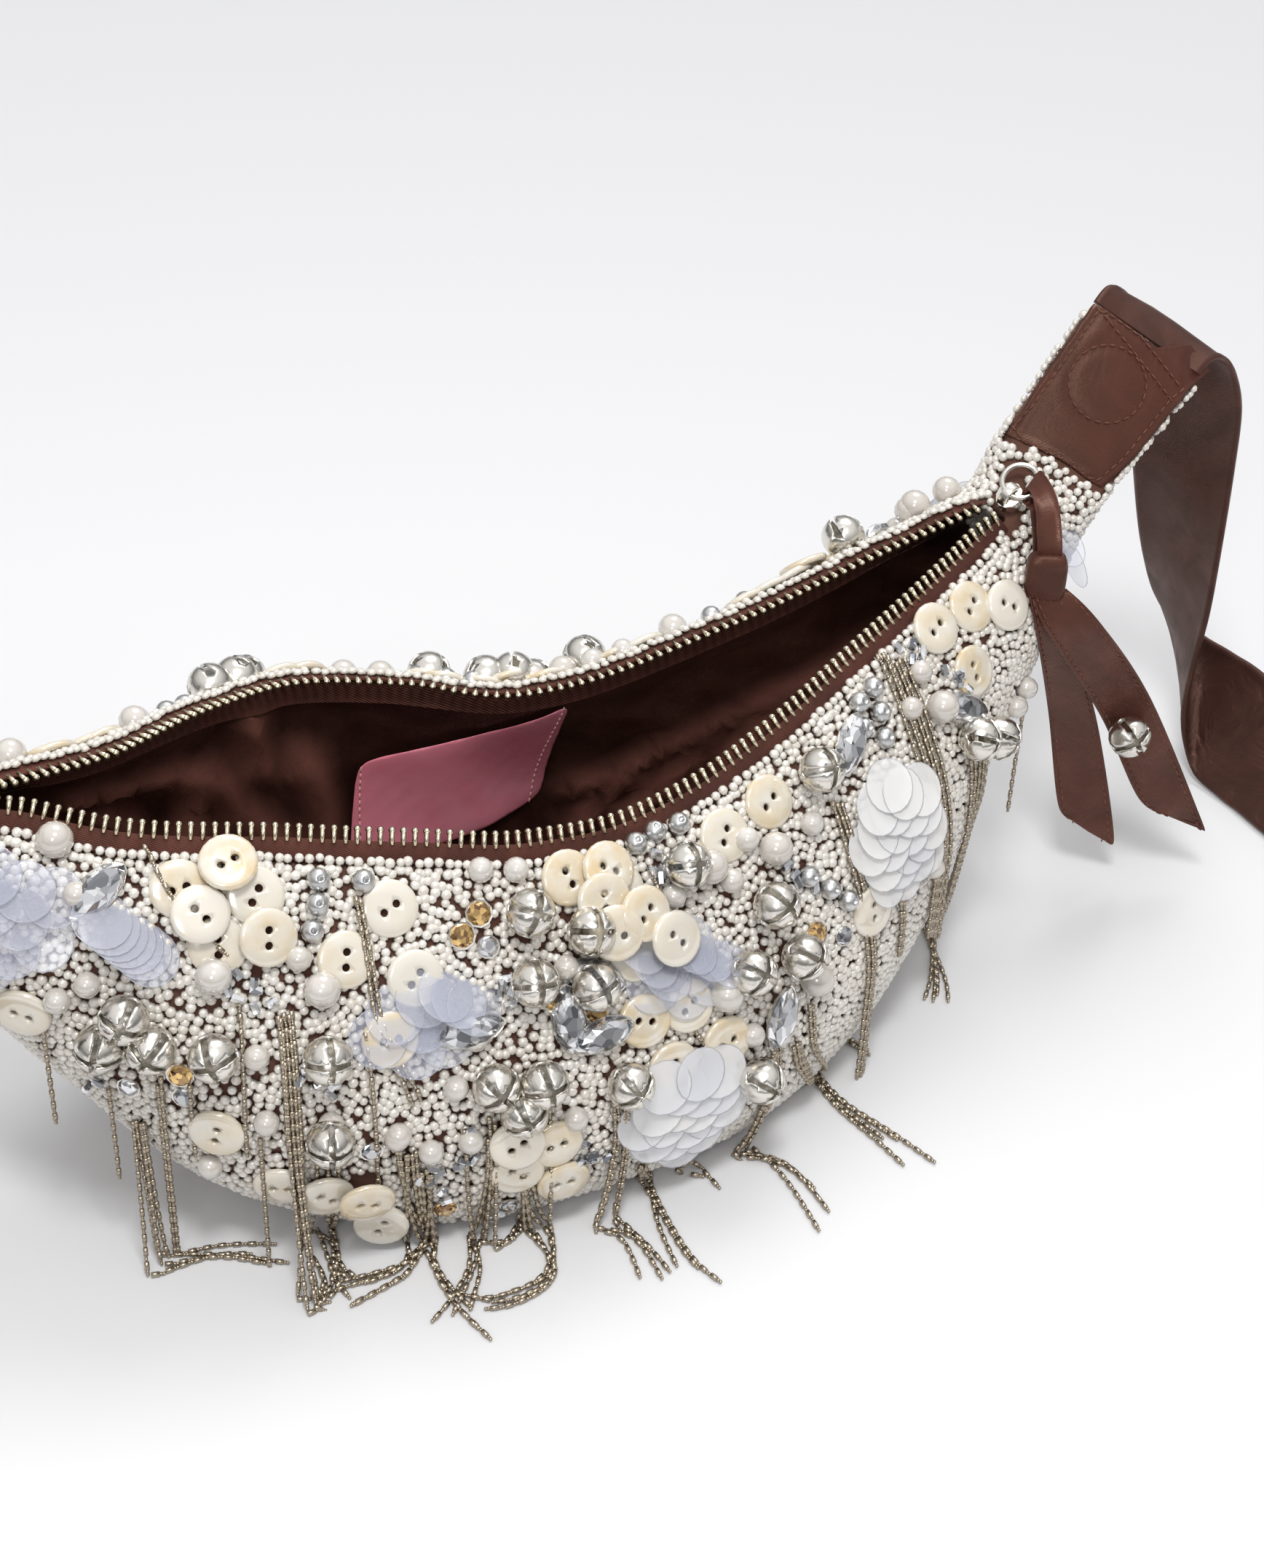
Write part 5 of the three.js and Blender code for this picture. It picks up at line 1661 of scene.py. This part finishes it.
trim["button"] += rim_places(RIM_BUTTON_PX, BUTTON_R, 1.4 * MM)
trim["pearl_8"] += rim_places(RIM_PEARL_PX, 3.6 * MM, 3.3 * MM)
bugle_rng = random.Random(31)
bugles = []
for px, py in BUGLE_PX:
    for _ in range(BUGLE_COUNT):
        found = on_bag(px + bugle_rng.gauss(0, BUGLE_SPREAD_PX), py + bugle_rng.gauss(0, BUGLE_SPREAD_PX))
        if found is not None:
            point, normal = found
            along = turn_on(normal, bugle_rng.uniform(0, 180))
            bugles.append((point + normal * BUGLE_LIFT, normal, along, BUGLE_R, bugle_rng.random()))
ribbon_bell_at = Vector(node_points("ribbon_bell").mean(axis=0))
bell_face = (EYE - ribbon_bell_at).normalized().lerp(Vector((0, -1, 0)), 0.5).normalized()
print({kind: len(places) for kind, places in trim.items()})

# %% Sew on the trim
hung_bell = [(ribbon_bell_at, bell_face, turn_on(bell_face, 30), BELL_R, 0.5)]
# Name, shape, material, places, record slot and CAD nodes of each kind.
TRIM_PIECES = [
    ("jingle_bells", bell_shape, NICKEL, trim["bell"], "nickel", nodes_named("bell")),
    ("ribbon_jingle_bell", bell_shape, NICKEL, hung_bell, "nickel", ["ribbon_bell"]),
    ("shell_buttons", button_shape, SHELL_BUTTON, trim["button"], "pearl_shell", nodes_named("button")),
    ("marquise_stones", marquise_shape, CRYSTAL, trim["stone"], "crystal", nodes_named("stone")),
    ("stone_trays", tray_shape, NICKEL, trim["stone"], "nickel", []),
    ("amber_stones", chaton_shape, AMBER, trim["amber"], "crystal", []),
    ("clear_stones", chaton_shape, CRYSTAL, trim["clear"], "crystal", []),
    ("stone_cups", cup_shape, NICKEL, trim["amber"] + trim["clear"], "nickel", []),
    ("round_pearls", pearl_shape, ROUND_PEARL, trim["pearl_8"] + trim["pearl_6"], "beadwork", []),
    ("silver_beads", drilled_shape, SILVER_BEAD, trim["silver"], "nickel", []),
    ("bugle_beads", bugle_shape, CRYSTAL, bugles, "crystal", []),
]
for name, shape, material, places, slot, nodes in TRIM_PIECES:
    dress(sew(name, shape, material, places), material, slot, *nodes)
drop(*{shape for _, shape, *_ in TRIM_PIECES})

# %% [markdown]
# ## Sequins
# Thin pearly discs overlap in clusters and fans, each held by one stitch at its top. A cluster spreads its
# discs evenly by the golden angle, and then stacks them from the lowest up, so that each one lies over
# those below it like a scale. In a fan the discs stand on their edges, one behind the other.

# %% Sequins
SEQUIN_R = 6.5 * MM
GOLDEN_TURN = math.radians(137.5)
# Middle pixel, reach in millimetres, number of discs and whiteness of each cluster.
ROSETTE_PX = [(1225, 1140, 12.0, 21, 0.9), (936, 1514, 11.5, 18, 0.75), (560, 1405, 8.5, 6, 0.2),
              (925, 1330, 8.0, 6, 0.3), (8, 1262, 11.0, 9, 0.25)]
# First and last pixel of each fan, and number of discs.
FAN_PX = [(140, 1262, 205, 1310, 7), (606, 1362, 645, 1380, 3), (870, 1300, 905, 1335, 3),
          (940, 1300, 985, 1318, 3), (1450, 748, 1462, 790, 3)]


def sequin(point, facing, shade):
    return (point, facing, turn_on(facing, rng.uniform(0, 180)), SEQUIN_R, shade)


def rosette(centre, normal, span, count, white):
    first = turn_on(normal, 0)
    second = normal.cross(first)
    upward = (UP - normal * UP.dot(normal)).normalized()
    spots = []
    for i in range(count):
        share = math.sqrt((i + 0.5) / count)
        spots.append((first * math.cos(i * GOLDEN_TURN) + second * math.sin(i * GOLDEN_TURN)) * span * share)
    spots.sort(key=lambda away: away.dot(upward))
    discs = []
    for i, away in enumerate(spots):
        foot, out, _, _ = cloth_tree.find_nearest(centre + away)
        out = out if out.dot(normal) > 0 else -out
        facing = (out.lerp(normal, 0.5) + upward * 0.2 + first * rng.uniform(-0.1, 0.1)).normalized()
        shade = white + rng.uniform(-0.25, 0.25)
        discs.append(sequin(foot + out * (2.3 + 0.1 * i) * MM, facing, clamped(shade)))
    return discs


def fan(x0, y0, x1, y1, count):
    discs = []
    for i in range(count):
        share = i / max(1, count - 1)
        found = on_bag(x0 + (x1 - x0) * share, y0 + (y1 - y0) * share)
        if found is not None:
            point, normal = found
            facing = (normal + turn_on(normal, 35) * 0.5 + UP * 0.35).normalized()
            discs.append(sequin(point + normal * 3.8 * MM, facing, rng.uniform(0, 0.5)))
    return discs


clear_discs, white_discs = [], []
for px, py, span, count, white in ROSETTE_PX:
    discs = white_discs if white > 0.5 else clear_discs
    found = on_bag(px, py)
    if found is not None:
        discs += rosette(*found, span * MM, count, white)
        behind = on_back(-found[0].x, found[0].z)
        if behind is not None:
            discs += rosette(*behind, span * MM, count, white)
for row in FAN_PX:
    clear_discs += fan(*row)
dress(sew("clear_sequins", sequin_shape, SEQUIN_FILM, clear_discs), SEQUIN_FILM, "pearl_shell")
dress(sew("white_sequins", sequin_shape, SEQUIN_WHITE, white_discs), SEQUIN_WHITE, "pearl_shell")
drop(sequin_shape)
print("sequins:", len(clear_discs), "clear,", len(white_discs), "white")

# %% [markdown]
# ## Seed pearls
# Small pearls cover all the cloth that the trim leaves free. Poisson points keep each bead clear of its
# neighbours, as hand sewing does. A list of keep-out places says how far the beads stay from each piece
# of trim, and the cloth is done in three parts in front and three behind, so that no mesh grows too
# heavy. Two even rows are added along each tape.

# %% Seed pearls
SEED_R = 1.32 * MM
SEED_PITCH = 1.5 * MM
SEED_DENSITY = 1500000.0
FLOOR_CLEAR = 2.6 * MM
SEED_LIFT = 0.5 * MM
SEED_SIZES = (0.82, 1.08)
# How far the beads stay from each kind of trim, from the tapes and from the slider, in millimetres.
KEEP_RADII = {"bell": 2.8, "button": 4.5, "stone": 2.6, "amber": 2.4, "clear": 2.1, "pearl_8": 2.6,
              "pearl_6": 2.1, "silver": 1.9}
KEEP_TAPE = {"front": 3.6, "back": 2.1}
KEEP_SLIDER = 3.4
# A long stone keeps the beads off at three places, the slider at seven.
STONE_SPOTS = (-3.2, 0, 3.2)
SLIDER_SPOTS = 7


def make_seed_pearls():
    tree, given, result = shape_tree(
        "seed_pearls", ("Pitch", "Float"), ("Density", "Float"), ("Size", "Float"), ("Lift", "Float"),
        ("Floor", "Float"), ("Trim", "Object"), ("Seed", "Int"))
    scatter = add_node(tree, "GeometryNodeDistributePointsOnFaces",
                       {"Mesh": given.outputs["Geometry"], "Distance Min": given.outputs["Pitch"],
                        "Density Max": given.outputs["Density"], "Seed": given.outputs["Seed"]},
                       distribute_method="POISSON")
    spots = add_node(tree, "GeometryNodeObjectInfo", {"Object": given.outputs["Trim"]}).outputs["Geometry"]
    near = add_node(tree, "GeometryNodeProximity", {"Geometry": spots}, target_element="POINTS")
    nearest = add_node(tree, "GeometryNodeSampleNearest", {"Geometry": spots})
    radius = add_node(tree, "GeometryNodeSampleIndex",
                      {"Geometry": spots, "Value": named_field(tree, "keep_out", "FLOAT"),
                       "Index": nearest.outputs["Index"]})
    covered = add_node(tree, "FunctionNodeCompare",
                       {"A": near.outputs["Distance"], "B": radius.outputs["Value"]}, operation="LESS_THAN")
    position = add_node(tree, "GeometryNodeInputPosition")
    height = add_node(tree, "ShaderNodeSeparateXYZ", {"Vector": position.outputs["Position"]})
    too_low = add_node(tree, "FunctionNodeCompare", {"A": height.outputs["Z"], "B": given.outputs["Floor"]},
                       operation="LESS_THAN")
    either = add_node(tree, "FunctionNodeBooleanMath",
                      {0: covered.outputs["Result"], 1: too_low.outputs["Result"]}, operation="OR")
    clear = add_node(tree, "GeometryNodeDeleteGeometry",
                     {"Geometry": scatter.outputs["Points"], "Selection": either.outputs["Boolean"]})
    raise_up = add_node(tree, "ShaderNodeVectorMath",
                        {"Vector": scatter.outputs["Normal"], "Scale": given.outputs["Lift"]},
                        operation="SCALE")
    lifted = add_node(tree, "GeometryNodeSetPosition",
                      {"Geometry": clear.outputs["Geometry"], "Offset": raise_up.outputs["Vector"]})
    vary = add_node(tree, "FunctionNodeRandomValue",
                    {"Min": SEED_SIZES[0], "Max": SEED_SIZES[1], "Seed": given.outputs["Seed"]})
    size = add_node(tree, "ShaderNodeMath", {0: vary.outputs["Value"], 1: given.outputs["Size"]},
                    operation="MULTIPLY")
    place, solid = instance_and_end(tree, given, result, lifted.outputs["Geometry"],
                                    scatter.outputs["Rotation"], size.outputs["Value"])
    shade = add_node(tree, "FunctionNodeRandomValue")
    keep_shade = add_node(tree, "GeometryNodeStoreNamedAttribute",
                          {"Name": "shade", "Geometry": place.outputs["Instances"],
                           "Value": shade.outputs["Value"]}, domain="INSTANCE")
    tree.links.new(keep_shade.outputs["Geometry"], solid.inputs["Geometry"])
    return tree


SEED_PEARLS = make_seed_pearls()
keep_points, keep_radii = [], []
for kind, places in trim.items():
    for point, _, along, _, _ in places:
        foot = cloth_tree.find_nearest(point)[0]
        for offset in STONE_SPOTS if kind == "stone" else (0,):
            keep_points.append(foot + along * offset * MM)
            keep_radii.append(KEEP_RADII[kind] * MM)
for side, (tape_line, _) in zip_lines.items():
    for point in tape_line:
        keep_points.append(point)
        keep_radii.append(KEEP_TAPE[side] * MM)
slider_low, slider_high = [Vector(corner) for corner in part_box("zip_slider")]
for i in range(SLIDER_SPOTS):
    spot = slider_low.lerp(slider_high, i / (SLIDER_SPOTS - 1))
    keep_points.append(cloth_tree.find_nearest(spot)[0])
    keep_radii.append(KEEP_SLIDER * MM)
keep_out = new_object("keep_out", keep_points, [])
mark(keep_out, "keep_out", keep_radii)
print("places where no bead is sewn:", len(keep_points))

# %% Sew on the seed pearls
# The parts of the cloth from left to right, each with the x where it starts and ends.
CLOTH_PARTS = {"left": (-1.0, -0.045), "middle": (-0.045, 0.045), "right": (0.045, 1.0)}
FACING_REACH = 1.5 * MM


def under_facing(face):
    """True for cloth that the tab's satin covers, and for the tab's end where the strap is sewn on."""
    centre = face.calc_center_median()
    tree = facing_trees["right" if centre.x > 0 else "left"]
    near = tree.find_nearest(centre, FACING_REACH)
    return near[0] is not None and (face.normal.z > 0.3 or abs(face.normal.x) > 0.75)


def cloth_part(name, low, high, front):
    bm = bmesh_of(cloth)
    outside = []
    for face in bm.faces:
        centre = face.calc_center_median()
        if not low <= centre.x < high or (face.normal.y < 0) != front or under_facing(face):
            outside.append(face)
    bmesh.ops.delete(bm, geom=outside, context="FACES")
    return from_bmesh(name, bm)


seed_total = 0
for number, (where, (low, high)) in enumerate(CLOTH_PARTS.items()):
    for front in (True, False):
        part = cloth_part(f"seed_pearls_{'front' if front else 'back'}_{where}", low, high, front)
        run_tree(part, SEED_PEARLS, Shape=seed_shape, Material=SEED_PEARL, Pitch=SEED_PITCH,
                 Density=SEED_DENSITY, Size=SEED_R, Lift=SEED_LIFT, Floor=FLOOR_CLEAR, Trim=keep_out,
                 Seed=number * 2 + front)
        dress(part, SEED_PEARL, "beadwork")
        seed_total += len(part.data.polygons)
RIM_PITCH = 2.15 * MM
# How far the two rows of pearls at the rim stand out from each tape, in shares of the tape's width.
RIM_ROWS = {"front": (1.15, 0.7), "back": (0.62, 0.2)}
rim_rows = []
for side, (tape_line, tooth_line) in zip_lines.items():
    for row, over in enumerate(RIM_ROWS[side]):
        spaced = even_points(tape_line, RIM_PITCH)[row:-1]
        for i, point in enumerate(spaced):
            along = way_at(spaced, i)
            across = point - min(tooth_line, key=lambda p: (p - point).length)
            across -= along * across.dot(along) / along.length_squared
            spot = point + across * over + Vector((0, 0, 0.7 * MM + row * 0.3 * MM))
            spot += Vector((rng.uniform(-0.4, 0.4), rng.uniform(-0.4, 0.4), rng.uniform(-0.2, 0.2))) * MM
            facing = (UP + across.normalized() * 0.5).normalized()
            rim_rows.append((spot, facing, turn_on(facing, 0), SEED_R * rng.uniform(0.8, 1.0), rng.random()))
dress(sew("rim_pearls", seed_shape, SEED_PEARL, rim_rows), SEED_PEARL, "beadwork")
drop(seed_shape, keep_out)
print("seed pearl faces in all:", seed_total)

# %% [markdown]
# ## Chain fringe
# Thin bar-and-ball chains hang from the beadwork, and many reach the floor. Each starts at a pixel, then
# steps down two millimetres at a time: where the cloth is in the way the chain is pushed out to lie on
# the beads, and where the belly curves under it hangs free. On the floor it follows measured points.

# %% Chain strands
STEP = 2.0 * MM
CHAIN_CLEAR = 2.4 * MM
CHAIN_FLOOR = 0.75 * MM
LINK_PITCH = 3.2 * MM
MOST_STEPS = 150
SMOOTHINGS = 7
# Left and right pixel of the tops, their row, how many strands, and the lowest pixel row or floor path.
STRANDS = [(65, 65, 1411, 1, 1531), (158, 158, 1490, 1, 1606), (187, 209, 1533, 4, "A"),
           (218, 228, 1480, 2, 1801), (264, 264, 1484, 1, 1579), (327, 327, 1373, 1, 1575),
           (360, 360, 1564, 1, 1738), (378, 402, 1396, 5, "D"), (430, 470, 1590, 3, "E"),
           (501, 501, 1415, 1, 1633), (541, 574, 1575, 6, "F"), (576, 592, 1600, 4, "R"),
           (636, 636, 1549, 1, "G"), (668, 678, 1537, 2, "G"), (662, 684, 1560, 3, "S"),
           (751, 751, 1514, 1, 1667), (706, 730, 1600, 5, "H"), (833, 860, 1514, 4, "I"),
           (868, 884, 1590, 3, "J"), (936, 944, 1580, 2, "K"), (1046, 1064, 1415, 4, "L"),
           (1080, 1090, 1434, 4, "M"), (1130, 1152, 1103, 3, 1470), (1100, 1106, 1378, 2, "N"),
           (1222, 1230, 1218, 2, 1303), (1200, 1238, 912, 6, 1271), (1316, 1346, 1010, 5, "P"),
           (1398, 1398, 935, 1, 1103)]
# Where the strands lie on the floor, in millimetres.
FLOOR_PATHS = {
    "A": [(-112, -45), (-98, -47), (-88, -53)], "D": [(-87, -71), (-80, -67), (-79, -54)],
    "E": [(-75, -49), (-74, -57), (-76, -64), (-74, -70)],
    "F": [(-57, -64), (-62, -70), (-70, -71), (-78, -71)], "G": [(-45, -73), (-38, -75), (-28, -70)],
    "H": [(-32, -70), (-33, -84), (-39, -89), (-49, -89), (-53, -85)],
    "I": [(-18, -79), (-14, -86), (-15, -102)], "J": [(-3, -67), (-5, -81), (-7, -97), (-5, -105)],
    "K": [(8, -71), (12, -78)], "L": [(21, -72), (28, -82), (27, -104)],
    "M": [(50, -47), (50, -66), (54, -81), (57, -94)], "N": [(61, -36), (67, -58)],
    "P": [(107, -26), (97, -42), (91, -50)], "R": [(-55, -64), (-57, -73), (-56, -83), (-53, -92)],
    "S": [(-43, -67), (-49, -76), (-56, -83), (-60, -86)]}
TRACED = [[(486, 1237), (500, 1320), (513, 1397), (540, 1460), (560, 1500)],
          [(492, 1240), (508, 1325), (522, 1400), (552, 1462), (572, 1494)],
          [(890, 1202), (919, 1283), (940, 1390), (963, 1436), (990, 1451), (1005, 1424)],
          [(197, 1174), (225, 1215), (262, 1262), (302, 1302)]]


def clear_of_cloth(point):
    """The point itself, or the nearest one that lies on top of the beads."""
    foot, normal, _, gap = cloth_tree.find_nearest(point)
    outside = (point - foot).dot(normal) > 0
    if outside and gap >= CHAIN_CLEAR:
        return point, False
    return foot + normal * CHAIN_CLEAR, True


def drape(px, py, stop):
    found = on_bag(px, py)
    if found is None:
        return None
    point, normal = found
    point = point + normal * CHAIN_CLEAR
    path, touching = [point], [True]
    for _ in range(MOST_STEPS):
        lower, touches = clear_of_cloth(path[-1] - UP * STEP)
        if lower.z > path[-1].z + 0.2 * MM:
            break
        path.append(lower)
        touching.append(touches)
        if lower.z < CHAIN_FLOOR + 1.9 * MM or (not isinstance(stop, str) and to_pixel(lower)[1] > stop):
            break
    if isinstance(stop, str):
        free = [i for i, touches in enumerate(touching) if touches][-1]
        target = Vector((*FLOOR_PATHS[stop][0], 0)) * MM
        target += Vector((rng.uniform(-4, 4) * MM, rng.uniform(-3, 3) * MM, CHAIN_FLOOR))
        start = path[free]
        count = max(6, int((start - target).length / STEP))
        hang = [start.lerp(target, i / count) for i in range(1, count + 1)]
        for i, point in enumerate(hang):
            share = (i + 1) / count
            point.z = start.z + (target.z - start.z) * math.sin(share * math.pi / 2) ** 0.9
        path = path[:free + 1] + hang
        wobble = Vector((rng.uniform(-4, 4), rng.uniform(-4, 4), 0)) * MM
        floor_points = [Vector((x * MM, y * MM, CHAIN_FLOOR)) for x, y in FLOOR_PATHS[stop][1:]]
        turns = [path[-1]]
        for i, point in enumerate(floor_points):
            turns.append(point + wobble * (i + 1) / len(floor_points))
        lay = smooth_curve(turns, 8)[1:]
        path += lay[:max(4, int(len(lay) * rng.uniform(0.6, 1.0)))]
    for _ in range(SMOOTHINGS):
        path = [path[0]] + [(a + b * 2 + c) / 4 for a, b, c in zip(path, path[1:], path[2:])] + [path[-1]]
    path = [clear_of_cloth(point)[0] for point in path]
    return [Vector((p.x, p.y, max(p.z, CHAIN_FLOOR))) for p in path]


strand_paths = []
for left, right, row, count, stop in STRANDS:
    for i in range(count):
        px = left + (right - left) * (i + 0.5) / count + rng.uniform(-2, 2)
        path = drape(px, row + rng.uniform(-6, 6), stop)
        if path is not None and len(path) > 4:
            strand_paths.append(path)
for pixels in TRACED:
    spots = [on_bag(px, py) for px, py in pixels]
    turns = [spot[0] + spot[1] * CHAIN_CLEAR for spot in spots if spot is not None]
    strand_paths.append([clear_of_cloth(point)[0] for point in smooth_curve(turns, 12)])
fringe = thread("chain_fringe", link_shape, CHAMPAGNE_CHAIN, LINK_PITCH, strand_paths)
dress(fringe, CHAMPAGNE_CHAIN, "chain", "fringe")
drop(link_shape)
print("strands:", len(strand_paths))

# %% Finish
dress(cloth, GROUND_CLOTH, "beadwork", "bag_shell")
